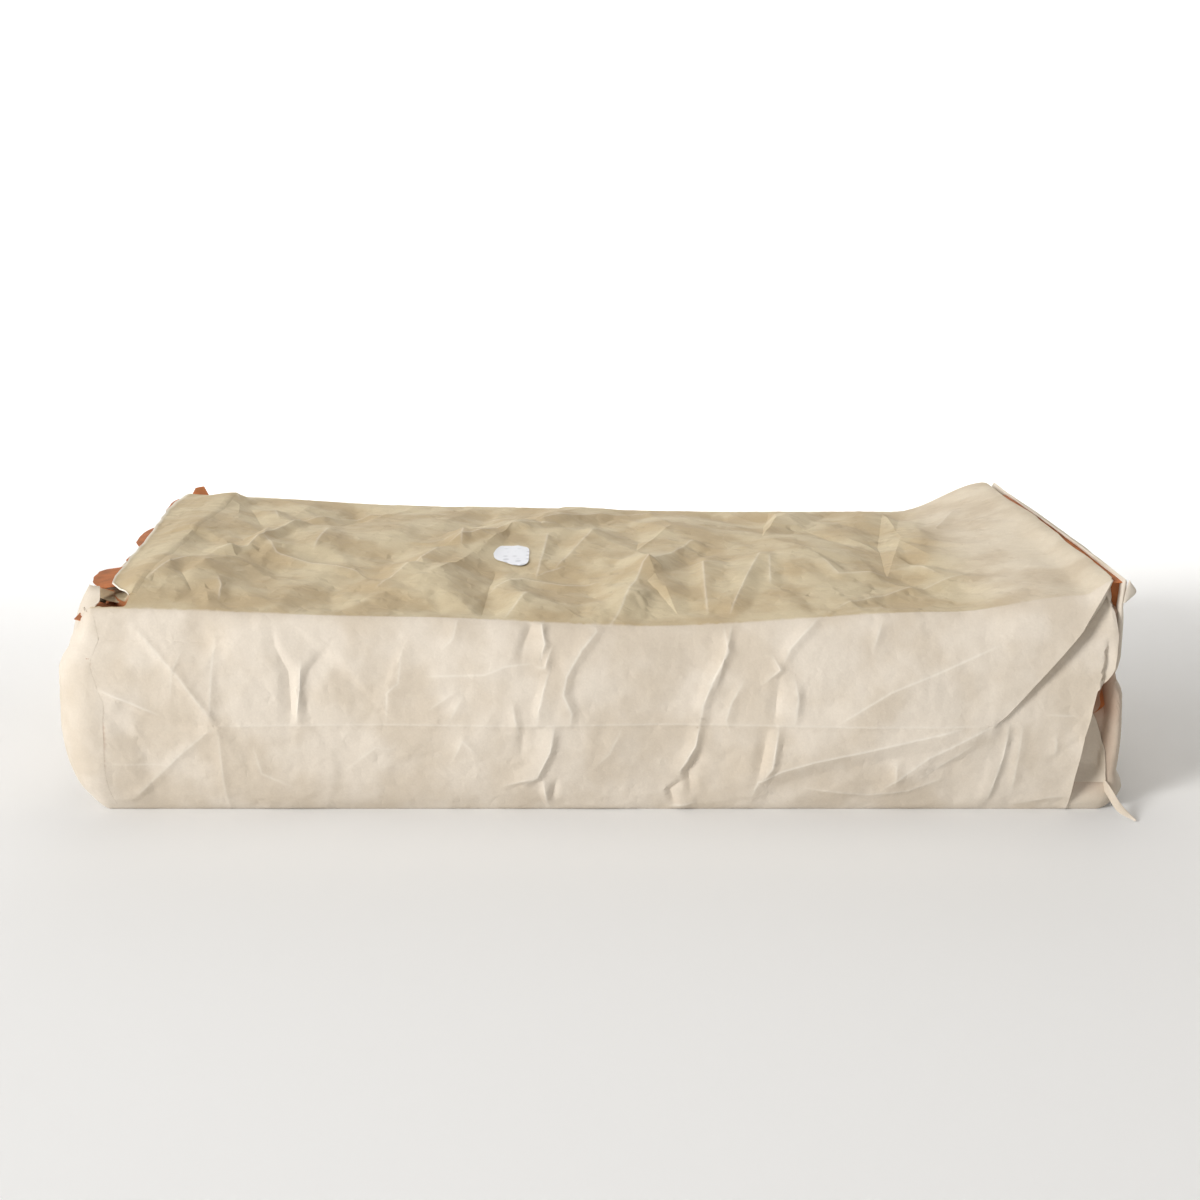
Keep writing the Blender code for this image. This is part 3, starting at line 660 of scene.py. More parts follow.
class PaperFace:
    """One face of the tube, unrolled: p runs along the sack and q round it, both in mm."""

    def __init__(self, name, places, normals, p):
        self.name, self.places, self.normals, self.p = name, places, normals, p
        middle = places[len(places) // 2]
        steps = np.linalg.norm(np.diff(middle, axis=0), axis=1) / MM
        self.q = np.concatenate([[0], np.cumsum(steps)])
        self.t = places[..., 1 if name in ("top", "floor") else 2] / MM
        self.height = np.repeat(self.t.max(1)[:, None], self.t.shape[1], 1)

    def read(self, grid, p, q):
        """A grid's values at places (p, q), between its points."""
        column = np.interp(p, self.p, np.arange(len(self.p)))
        row = np.interp(q, self.q, np.arange(len(self.q)))
        i = np.minimum(column.astype(int), len(self.p) - 2)
        j = np.minimum(row.astype(int), len(self.q) - 2)
        a, b = column - i, row - j
        if grid.ndim == 3:
            a, b = a[:, None], b[:, None]
        low = grid[i, j] * (1 - a) + grid[i + 1, j] * a
        high = grid[i, j + 1] * (1 - a) + grid[i + 1, j + 1] * a
        return low * (1 - b) + high * b

    def unrolled(self, line):
        """A line's (s, t) points as (p, q)."""
        turn = 1 if self.t[0, -1] > self.t[0, 0] else -1
        column = np.interp(line[:, 0], self.p, np.arange(len(self.p)))
        i = np.minimum(column.astype(int), len(self.p) - 2)
        share = (column - i)[:, None]
        rows = turn * (self.t[i] * (1 - share) + self.t[i + 1] * share)
        q = [np.interp(turn * t, row, self.q) for t, row in zip(line[:, 1], rows)]
        return np.column_stack([line[:, 0], q])

    def triangles(self, lines, seam, seed):
        """Places (p, q) on the face and the triangles between them, cut along the lines."""
        step, width = FACE_STEP[self.name], self.q[-1]
        ends = np.linspace(0, width, int(width / step) + 1)[1:-1]
        border = [(p, 0) for p in seam] + [(seam[-1], q) for q in ends]
        border += [(p, width) for p in seam[::-1]] + [(seam[0], q) for q in ends[::-1]]
        places = [np.array(border)]
        edges = [(k, (k + 1) % len(border)) for k in range(len(border))]
        count = len(border)
        for line in lines:
            line = self.unrolled(resampled(line, step))
            free = (line[:, 0] > seam[0] + 1) & (line[:, 0] < seam[-1] - 1)
            free &= (line[:, 1] > 1) & (line[:, 1] < width - 1)
            edges += [(count + k, count + k + 1) for k in np.flatnonzero(free[:-1] & free[1:])]
            places.append(np.where(free[:, None], line, border[0]))
            count += len(line)
        tree = KDTree(count)
        for index, place in enumerate(np.concatenate(places)):
            tree.insert((*place, 0), index)
        tree.balance()
        rng = np.random.default_rng(seed)
        fill = []
        for row, q in enumerate(np.arange(0.8 * step, width - 0.5 * step, 0.87 * step)):
            for p in np.arange(seam[0] + (0.8 + 0.5 * (row % 2)) * step, seam[-1] - 0.5 * step, step):
                place = (p, q) + rng.uniform(-0.12, 0.12, 2) * step
                if tree.find((*place, 0))[2] > 0.62 * step:
                    fill.append(place)
        places = np.concatenate([*places, fill])
        made = delaunay_2d_cdt([Vector(place) for place in places], edges, [], 0, 1e-3, False)
        return np.array(made[0]), np.array([face for face in made[2] if len(face) == 3])


def mouth_tuck(s, t):
    """How far the gusset is tucked in at the mouth, in mm: under its diagonal, and past its edge."""
    distance, share, _ = along_stroke(MOUTH_DIAGONAL, s, t)
    from_fold, starts = np.abs(distance), MOUTH_DIAGONAL[0][0]
    under = (distance < 0) & (s > starts)
    depth = (TUCK_DEPTH[0] + TUCK_DEPTH[1] * share**1.2) * np.exp(-from_fold / TUCK_REACH)
    wall = np.clip(from_fold / TUCK_WALL, 0, 1)
    lip = FOLD_LIP * share * np.exp(-from_fold / FOLD_LIP_REACH)
    relief = np.where(under, lip * (1 - wall) - depth * wall, lip) * faded(s, starts, starts + 8)
    fold, _, _ = along_stroke(LEFT_FOLD, s, t)
    fold_z = faded(t, 62, 74) * (1 - faded(t, 104, 116))
    relief -= LEFT_FOLD_DROP * np.clip(-fold / 1.2, 0, 1) * np.clip(1 + fold / 22, 0, 1) * fold_z
    past = past_mouth_edge(s, t) * under
    beyond = s - mouth_edge(t)
    roll = EDGE_ROLL * np.exp(-np.abs(beyond) / EDGE_ROLL_REACH)
    return relief - PAST_EDGE_DEPTH * past + roll * (1 - np.clip(beyond / TUCK_WALL, 0, 1)) * under


def mouth_edge(t):
    """Where the fold edge at the mouth lies, at height t."""
    return np.interp(t, MOUTH_EDGE_Z, MOUTH_EDGE_X)


def past_mouth_edge(s, t):
    """1 past the fold edge at the mouth, where the gusset is tucked in deep, and 0 before it."""
    past = np.clip((s - mouth_edge(t)) / TUCK_WALL, 0, 1)
    return past * faded(t, 5, 24) * (1 - 0.6 * faded(s, 305, 320))


def settled_mouth(places):
    """The places with the end's upper corners drawn in behind the folded mouth."""
    x, y, z = (places / MM).T
    fold = MOUTH_FOLD_X / MM + MOUTH_LIP * (1 - faded(z, 130, 138))
    above = faded(z, *MOUTH_DRAWN_Z)
    drawn = MOUTH_DRAWN * above * faded(np.abs(y), *MOUTH_DRAWN_Y)
    inwards = MOUTH_CORNER_IN * above * faded(x, fold - 0.5, fold + 1.5) * faded(np.abs(y), 135, 158)
    x = np.where(x > fold, fold + (x - fold) * (1 - drawn), x)
    return np.column_stack([x, y - np.sign(y) * inwards, z]) * MM


def settled_base(places):
    """The places with the end's top and upper front corner drawn in, and low under the panel."""
    x, y, z = (places / MM).T
    corner = CORNER_DRAWN * (1 - faded(y, *CORNER_DRAWN_Y))
    drawn = (END_DRAWN + corner) * faded(z, *CORNER_DRAWN_Z)
    fold = BASE_FOLD_X / MM
    x = np.where(x < fold, fold + (x - fold) * (1 - drawn), x)
    under = (1 - faded(x, *UNDER_PANEL_X)) * faded(y, -166, -156) * (1 - faded(y, 163, 169))
    z = np.where(z > UNDER_PANEL_Z, z + (UNDER_PANEL_Z - z) * under, z)
    return np.column_stack([x, y, z]) * MM


def side_relief(s, t, height, nets):
    """A gusset's relief in mm at x = s and z = t."""
    rim = faded(height - t, 0, GUSSET_RIM)
    foot = faded(t, 0, GUSSET_FOOT)
    wide, fine, low = (depth * net.relief(s, t) for depth, net in zip(GUSSET_NET_DEPTHS, nets))
    relief = wide * (0.15 + 0.85 * rim) * (0.3 + 0.7 * foot)
    relief += fine * (0.2 + 0.8 * rim)
    relief += low * (1 - foot)
    relief += GUSSET_SWELL * swell(23, 150, s, t) * rim * foot
    relief += SIDE_CREASE_DEPTH * pressed(FRONT_CREASES, s, t)
    relief += SIDE_CREASE_DEPTH * pressed(FACTORY_FOLDS, s, t, run_out=False)
    below = height - t - BASE_DENT_BELOW
    up, down = BASE_DENT_REACH
    dent = np.clip(1 - np.abs(below) / np.where(below > 0, down, up), 0, 1)
    relief -= BASE_DENT * dent * (1 - faded(s, *BASE_DENT_S))
    relief += mouth_tuck(s, t)
    return relief


def top_relief(s, t, nets):
    """The upper face's relief in mm at x = s and y = t."""
    inset = TOP_HALF_WIDTH - np.abs(t)
    rim = faded(inset, 0, TOP_RIM)
    from_sticker = np.hypot(s - STICKER_MIDDLE[0], t - STICKER_MIDDLE[1])
    calm = 1 - STICKER_CALM * np.exp(-((from_sticker / STICKER_CALM_REACH) ** 2))
    mouth = 1 - MOUTH_CALM * faded(s, *MOUTH_CALM_S)
    wide, fine = (depth * net.relief(s, t) for depth, net in zip(TOP_NET_DEPTHS, nets))
    relief = wide * (0.1 + 0.9 * rim) * mouth
    relief += fine * (0.15 + 0.85 * rim) * mouth
    relief += TOP_SWELL * swell(14, 170, s, t) * rim
    relief += TOP_CREASE_DEPTH * pressed(TOP_CREASES, s, t) * (0.3 + 0.7 * rim)
    relief *= 1 - BASE_CALM * (1 - faded(s, *BASE_CALM_S))
    relief += PANEL_SWELL * (1 - faded(s, *PANEL_SWELL_S)) * faded(inset, 0, 40)
    corner, _, _ = along_stroke(CUT_CORNER, s, t)
    recess = faded(corner, 0, 2) * faded(inset, 3, 9) * (s < -280) * (t < 0)
    relief -= CORNER_RECESS * recess
    return relief * calm + STICKER_TILT * (t - STICKER_MIDDLE[1]) * np.exp(-((from_sticker / 34) ** 2))


def parted_plies_and_painted_shade(name, s, t):
    """How brown the paper is painted at places (s, t): the inner ply where the plies part, with painted
    shade in the gaps and recesses.
    """
    if name == "top":
        # The recess behind the upper panel's loose corner is painted brown: the lower ply, and painted
        # shade in the recess.
        corner, _, _ = along_stroke(CUT_CORNER, s, t)
        return faded(corner, 0, 1) * (s < -280) * (t < 0) * faded(t, -164, -162)
    if name == "floor":
        return np.zeros(s.shape)
    # Past the mouth's fold edge the paper is painted brown: painted shade on the tucked paper and the end
    # wall, deeper higher up.
    gap = past_mouth_edge(s, t) * (0.4 + 0.3 * faded(t, 54, 68)) * (1 - faded(s, 317, 325))
    for line, half_width in BROWN_GAPS:
        distance, share, length = along_stroke(line, s, t)
        fade = run_out_share(share, length) if half_width < 1 else 1.0
        gap = np.maximum(gap, fade * np.exp(-((distance / half_width) ** 4)))
    return gap


def face_relief(name, s, t, height, nets):
    """The relief in mm of one face of the tube."""
    if name == "top":
        return top_relief(s, t, nets)
    if name == "floor":
        return np.zeros(s.shape)
    return side_relief(s, t, height, nets)


def beside(line, gap):
    """A line moved sideways by gap mm, to the left of someone who walks along it."""
    line = np.array(line, float)
    run = np.gradient(line, axis=0)
    run /= np.linalg.norm(run, axis=1, keepdims=True)
    return line + gap * np.column_stack([-run[:, 1], run[:, 0]])


def face_creases(name):
    """The creases of a face; the back gusset has the front one's kinds of creases."""
    return TOP_CREASES if name == "top" else (*FACTORY_FOLDS, *FRONT_CREASES)


def with_sides(line, width):
    """A line with the lines that run width mm to its left and right."""
    return [line, beside(line, width), beside(line, -width)]


def crease_lines(name):
    """The lines that a face's triangles follow, and its crumple nets."""
    if name == "floor":
        return [], []
    nets = [CrumpleNet(*net, *NET_BOXES[name]) for net in CRUMPLE_NETS[name]]
    strokes = face_creases(name)
    if name == "top":
        lines = [CUT_CORNER, beside(CUT_CORNER, 1), beside(CUT_CORNER, 2)]
        lines += [((s, -165), (s, 165)) for s in MOUTH_RIDGE_LINES]
    else:
        edge = np.column_stack([MOUTH_EDGE_X, MOUTH_EDGE_Z])
        lines = [MOUTH_DIAGONAL, beside(MOUTH_DIAGONAL, -TUCK_WALL), edge, beside(edge, -TUCK_WALL)]
        for line, half_width in BROWN_GAPS:
            lines += with_sides(line, half_width)
    for *_, line in strokes:
        lines += with_sides(line, CREST_SIDE)
    return lines + nets[0].edges() + nets[1].edges(), nets


def face_mesh(face, seam, seed, crumple):
    """A creased face: its places in metres, triangles, places (p, q), and its colours' numbers."""
    lines, nets = crease_lines(face.name)
    spots, cells = face.triangles(lines, seam, seed)
    along, across = spots.T
    t, height = face.read(face.t, along, across), face.read(face.height, along, across)
    relief = face_relief(face.name, along, t, height, nets) * crumple
    to_start, to_end = across, face.q[-1] - across
    relief *= faded(np.minimum(to_start, to_end), 0, SEAM_CALM)
    long_folds = {"front": [to_end], "top": [to_start, to_end], "back": [to_start], "floor": []}
    for distance in long_folds[face.name]:
        relief -= RIM_ROUND * np.exp(-((distance / RIM_REACH) ** 2))
    normals = face.read(face.normals, along, across)
    places = face.read(face.places, along, across) + normals * relief[:, None] * MM
    inner = (to_start > 0.1) & (to_end > 0.1)
    # The upper face is painted deeper and yellower than the sides: painted shade for the light that falls
    # lower on it. It fades out at the block bottom's end, and partly towards the mouth, where the face
    # turns up to the light.
    painted_top_shade = faded(along, *BASE_PAINTED_SHADE_S) * (1 - MOUTH_PAINTED_SHADE_LOST * faded(along, *MOUTH_PAINTED_SHADE_LOST_S))
    numbers = {
        "wear_and_highlight": crest_wear_and_highlight(face_creases(face.name), along, t, MOST_WEAR_AND_HIGHLIGHT[face.name]),
        "upper": inner * (face.name == "top") * painted_top_shade,
        "gap": parted_plies_and_painted_shade(face.name, along, t),
    }
    return places, cells, spots, numbers


def tube_mesh(crumple):
    """The paper tube's places in metres, its triangles, and the numbers its colours go by."""
    lattice, p = tube_lattice()
    normals = surface_normals(lattice)
    seam = np.linspace(p[0], p[-1], int((p[-1] - p[0]) / SEAM_STEP) + 1)
    places, triangles, numbers, rings = [], [], {"wear_and_highlight": [], "upper": [], "gap": []}, [[], []]
    first_row, count = 0, 0
    for name, rows in FACE_ROWS.items():
        part = slice(first_row, first_row + rows + 1)
        first_row += rows
        face = PaperFace(name, lattice[:, part], normals[:, part], p)
        made, cells, spots, face_numbers = face_mesh(face, seam, first_row, crumple)
        places.append(made)
        triangles.append(cells + count)
        for look, values in face_numbers.items():
            numbers[look].append(values)
        for ring, end in zip(rings, (p[0], p[-1])):
            on_end = np.flatnonzero(np.abs(spots[:, 0] - end) < 1e-3)
            ring.append(made[on_end[np.argsort(spots[on_end, 1])]][:-1])
        count += len(made)
    for side, ring in zip((-1, 1), rings):
        cap, cells = end_cap(np.concatenate(ring), side, crumple)
        places.append(cap)
        triangles.append(cells + count)
        for values in numbers.values():
            values.append(np.zeros(len(cap)))
        count += len(cap)
    places = settled_mouth(settled_base(np.concatenate(places)))
    places[:, 2] = np.maximum(places[:, 2], FLOOR_GAP)
    numbers = {look: np.concatenate(values) for look, values in numbers.items()}
    return places, np.concatenate(triangles), numbers


def end_cap(ring, side, crumple):
    """The flat of an end: its outer ring drawn in, ring by ring, to its middle."""
    middle = np.array([ring[:, 0].mean(), 0, 0.5 * (ring[:, 2].min() + ring[:, 2].max())])
    net = CrumpleNet(41 + side, 34, 26, 15, *CAP_NET_BOX)
    rings = [ring]
    for share in CAP_SHARES:
        drawn = middle + (ring - middle) * (1 - share)
        bumps = CAP_RELIEF * net.relief(drawn[:, 1] / MM, drawn[:, 2] / MM) * faded(share, 0, 0.3)
        drawn[:, 0] += side * bumps * crumple * MM
        rings.append(drawn)
    places = np.concatenate([*rings, [middle]])
    count, cells = len(ring), []
    here = np.arange(count)
    after = (here + 1) % count
    for inner in range(1, len(rings)):
        outer = (inner - 1) * count
        cells.append(np.column_stack([outer + here, outer + after, inner * count + after]))
        cells.append(np.column_stack([outer + here, inner * count + after, inner * count + here]))
    last = len(CAP_SHARES) * count
    cells.append(np.column_stack([last + here, last + after, np.full(count, len(places) - 1)]))
    return places, np.concatenate(cells)


def deselect_all():
    bpy.ops.object.select_all(action="DESELECT")


def new_paper(name, places, faces):
    """A mesh object of these places and faces, at the origin."""
    deselect_all()
    bpy.ops.object.add(type="MESH", location=(0, 0, 0))
    paper = bpy.context.object
    paper.name = paper.data.name = name
    paper.data.from_pydata(places.tolist(), [], faces.tolist())
    paper.data.update()
    return paper


def set_number(paper, name, values):
    """A number at each of the paper's points."""
    layer = paper.data.attributes.new(name, "FLOAT", "POINT")
    layer.data.foreach_set("value", values.astype(np.float32))


def close_seams(gap, outwards):
    """The active mesh's points closer than gap become one, and its faces may be turned outwards."""
    bpy.ops.object.mode_set(mode="EDIT")
    bpy.ops.mesh.select_all(action="SELECT")
    bpy.ops.mesh.remove_doubles(threshold=gap)
    bpy.ops.mesh.dissolve_degenerate(threshold=gap)
    if outwards:
        bpy.ops.mesh.normals_make_consistent(inside=False)
    bpy.ops.object.mode_set(mode="OBJECT")


def grid_faces(columns, rows):
    """The quads of a grid whose places run row by row along each column."""
    i, j = np.meshgrid(np.arange(columns - 1), np.arange(rows - 1), indexing="ij")
    corner = (i * rows + j).ravel()
    return np.column_stack([corner, corner + rows, corner + rows + 1, corner + 1])


def thin_sheet(name, places, facing, thickness):
    """A sheet of paper through a grid of places in mm, whose outer side looks along facing."""
    across = np.cross(np.gradient(places, axis=0), np.gradient(places, axis=1))
    if facing and across.reshape(-1, 3).mean(0) @ np.array(facing) < 0:
        places = places[::-1]
    columns, rows = places.shape[:2]
    sheet = new_paper(name, places.reshape(-1, 3) * MM, grid_faces(columns, rows))
    close_seams(0.01 * MM, outwards=False)
    bpy.ops.object.modifier_add(type="SOLIDIFY")
    wall = sheet.modifiers[-1]
    wall.thickness, wall.offset = thickness, -1
    wall.material_offset, wall.material_offset_rim = 1, 2
    bpy.ops.object.modifier_apply(modifier=wall.name)
    bpy.ops.object.shade_smooth_by_angle(angle=math.radians(30))
    return sheet


def crumpled(places, seed, depth, size=22):
    """A grid of places with facets pressed into it, depth mm deep and about size mm across."""
    run_u, run_v = np.gradient(places, axis=0), np.gradient(places, axis=1)
    u = np.cumsum(np.linalg.norm(run_u, axis=2).mean(1))
    v = np.cumsum(np.linalg.norm(run_v, axis=2).mean(0))
    u, v = (grid.ravel() for grid in np.meshgrid(u, v, indexing="ij"))
    net = CrumpleNet(seed, size, 1.4 * size, 20, (0, 0), (u.max(), v.max()))
    normals = np.cross(run_u, run_v)
    normals /= np.maximum(np.linalg.norm(normals, axis=2, keepdims=True), 1e-9)
    return places + normals * depth * net.relief(u, v).reshape(places.shape[:2])[..., None]


def ruled(edge_a, edge_b, columns, rows, bow=(0, 0, 0)):
    """Places between two smooth edges, whose middle is pushed out by bow mm."""
    first, last = smooth_line(edge_a, columns), smooth_line(edge_b, columns)
    share = np.linspace(0, 1, rows)[None, :, None]
    places = first[:, None] * (1 - share) + last[:, None] * share
    return places + np.array(bow) * 4 * share * (1 - share)


def paper_tree():
    """The finished tube, ready to have sheets laid on it."""
    mesh = bpy.data.objects["sack_paper"].data
    places = np.empty(3 * len(mesh.vertices), np.float32)
    mesh.vertices.foreach_get("co", places)
    return BVHTree.FromPolygons(places.reshape(-1, 3).tolist(), [list(p.vertices) for p in mesh.polygons])


def laid(tree, inside, outward, gap):
    """The place, in mm, where the tube's paper is met from outside, lifted by gap mm."""
    outward = Vector((*outward,)).normalized()
    start = Vector(inside) * MM + outward * 0.3
    hit = tree.ray_cast(start, -outward)[0]
    if hit is None:
        return None
    return np.array(hit) / MM + np.array(outward) * gap


def finish_piece(piece, looks, slot, *nodes):
    """The piece gets its materials, rides on the body and stands for its CAD nodes."""
    piece.data.materials.clear()
    for look in looks:
        piece.data.materials.append(look)
    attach(piece, "root")
    if nodes:
        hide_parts(*nodes)


def top_panel_edge(tree):
    """The upper panel's free end: it rests on the paper, then stands off it up to its cut edge."""
    y = np.linspace(TOP_CUT_EDGE[0][0], TOP_CUT_EDGE[-1][0], 170)
    cut = read_off(TOP_CUT_EDGE, y) + EDGE_RAGGED * swell(51, 24, y, 0 * y)
    rise = read_off(TOP_CUT_RISE, y)
    rests, lifts = np.linspace(*PANEL_RESTS, 5), np.linspace(*PANEL_LIFTS, 5)
    places = []
    for across, edge, high in zip(y, cut, rise):
        column = [laid(tree, (x, across, INSIDE_Z), (0, 0, 1), lift) for x, lift in zip(rests, lifts)]
        length, low = rests[-1] - edge, column[-1][2]
        high = low + (high - low) * min(length / PANEL_RISES_OVER, 1)
        for share in np.linspace(0, 1, 15)[1:]:
            column.append((rests[-1] - length * share, across, low + (high - low) * eased(share)))
        places.append(column)
    places = np.array(places)
    places[:, len(rests) :] = crumpled(places, 52, 0.3, 26)[:, len(rests) :]
    curl = np.clip((rests[-1] - cut) / PANEL_RISES_OVER - 0.3, 0, 1)
    places[:, -3:, 2] += curl[:, None] * np.array([0.05, 0.3, 0.8])
    return places


def base_inner_ply():
    """The brown inner ply that shows past the upper panel's cut edge."""
    y = np.linspace(INNER_PLY_SHOWS[0][0], INNER_PLY_SHOWS[-1][0], 200)
    shows = read_off(INNER_PLY_SHOWS, y) + EDGE_RAGGED * swell(53, 14, y, 0 * y)
    cut = read_off(TOP_CUT_EDGE, y)
    rise = read_off(TOP_CUT_RISE, y)
    places = []
    for across, edge, high, past in zip(y, cut, rise, shows):
        x = np.linspace(edge + INNER_PLY_UNDER, edge - past, 14)
        sinks = np.linspace(0, INNER_PLY_SINKS, 14)
        z = high - INNER_PLY_BELOW - sinks + 0.4 * swell(54, 60, x, 0 * x + across)
        places.append(np.column_stack([x, 0 * x + across, z]))
    return np.array(places)


def base_outer_flap(tree):
    """The pasted outer flap of the block bottom, from the front gusset round to the back one."""
    places = []
    turns = [("corner", share, -1) for share in np.linspace(0, 1, 26)]
    turns += [("end", y, 0) for y in np.linspace(-FLAP_END_Y, FLAP_END_Y, 64)]
    turns += [("corner", share, 1) for share in np.linspace(1, 0, 26)]
    for kind, share, side in turns:
        column = []
        for step in np.linspace(0, 1, 46):
            low = FLAP_FOOT_Z + FLAP_END_HIGHER * (1 if kind == "end" else faded(share, 0.1, 0.9))
            top = FLAP_TOP_Z - FLAP_END_LOWER * (1 if kind == "end" else faded(share, 0.5, 1))
            z = low + (top - low) * step
            if kind == "end":
                inside, outward = (FLAP_FROM_X, share, z), (-1, 0, 0)
            else:
                edge_x = read_off(FLAP_FRONT_EDGE, z)
                start = math.atan2(FLAP_AXIS[0] - edge_x, GUSSET_FROM_AXIS)
                angle = start + (0.5 * math.pi - start) * share
                inside = (FLAP_AXIS[0], side * FLAP_AXIS[1], z)
                outward = (-math.sin(angle), side * math.cos(angle), 0)
            lift = FLAP_LIFTS[0] + FLAP_LIFTS[1] * (1 if kind == "end" else faded(share, 0, 0.3))
            met = laid(tree, inside, outward, lift)
            if column and (met is None or np.linalg.norm(met - column[-1]) > FLAP_JUMP):
                met = column[-1] + (0.35, 0, z - column[-1][2])
            column.append(met)
        places.append(column)
    return np.array(places)


def mouth_plies(side):
    """Half of the folded mouth from its middle round its end (side -1 or 1) and back inside."""
    drop = np.linspace(0, 1, len(MOUTH_SIDE_INNER))
    fold = np.linspace(0, MOUTH_FOLD_SHARE, 6)
    down = np.concatenate([fold[:-1], np.linspace(MOUTH_FOLD_SHARE, 1, 40)])
    side_in, side_out, middle_out = (
        np.stack([np.interp(down, drop, axis) for axis in zip(*line)], 1)
        for line in (MOUTH_SIDE_INNER, MOUTH_SIDE_OUTER, MOUTH_MIDDLE_OUTER)
    )
    apart = np.sqrt(1 - (1 - np.clip(down / MOUTH_FOLD_SHARE, 0, 1)) ** 2)[:, None]
    along = np.linspace(0, MOUTH_HALF_WIDTH - MOUTH_END_RADIUS, 60)
    turn = np.linspace(0, math.pi, 9)[1:-1]
    way = [*zip(along, 0 * along), *zip(0 * turn + along[-1], turn)]
    way += zip(along[::-1], 0 * along + math.pi)
    columns = []
    for y, swing in way:
        y = y + MOUTH_END_RADIUS * math.sin(swing)
        share = eased(min((MOUTH_HALF_WIDTH - min(y, MOUTH_HALF_WIDTH)) / MOUTH_ENDS, 1))
        outer = side_out * (1 - share) + middle_out * share
        inner = side_in * (1 - share) + (middle_out - (MOUTH_PLIES_APART, 0)) * share
        place = 0.5 * (outer + inner) + 0.5 * (outer - inner) * apart * math.cos(swing)
        top = read_off(MOUTH_TOP, side * y) - 147
        z = place[:, 1] + top * (1 - down)
        columns.append(np.column_stack([place[:, 0], np.full(len(z), side * y), z]))
    return np.array(columns)


def tucked_ply(tree):
    """The ply tucked in below the mouth, whose cut edge shows in the shade of the front fold."""
    places = []
    for z in np.linspace(TUCKED_EDGE[0][0], TUCKED_EDGE[-1][0], 60):
        low, high = mouth_edge(z) + 2.5, read_off(TUCKED_EDGE, z)
        column = []
        for share in np.linspace(0, 1, 12):
            x = low + (high - low) * share
            column.append(laid(tree, (x, -120, z), (0, -1, 0), 0.4 + 1.1 * share**2))
        places.append(column)
    return np.array(places)


def linear(hex_colour):
    """An sRGB hex colour as linear red, green, blue."""
    values = [int(hex_colour[here : here + 2], 16) / 255 for here in (1, 3, 5)]
    return [v / 12.92 if v <= 0.04045 else ((v + 0.055) / 1.055) ** 2.4 for v in values]


def fill_inputs(tree, node, inputs):
    """A node's inputs, by name or number: each is a value or another node's output to link."""
    for name, value in inputs.items():
        if isinstance(value, bpy.types.NodeSocket):
            tree.links.new(value, node.inputs[name])
        else:
            node.inputs[name].default_value = value


def add_node(tree, kind, inputs=None, output=0, **settings):
    """Adds a node with its settings and links, and gives one of its outputs."""
    node = tree.nodes.new("ShaderNode" + kind)
    for name, value in settings.items():
        setattr(node, name, value)
    fill_inputs(tree, node, inputs or {})
    return node.outputs[output]


def bare_material(name):
    """The material of this name with nothing but its shader, its tree, its shader and a place.

    The place is the output that gives Object coordinates.
    """
    look = bpy.data.materials.get(name) or bpy.data.materials.new(name)
    look.use_nodes = True
    nodes = look.node_tree.nodes
    for node in [node for node in nodes if node.name not in ("Principled BSDF", "Material Output")]:
        nodes.remove(node)
    place = add_node(look.node_tree, "TexCoord", output="Object")
    return look, look.node_tree, nodes["Principled BSDF"], place


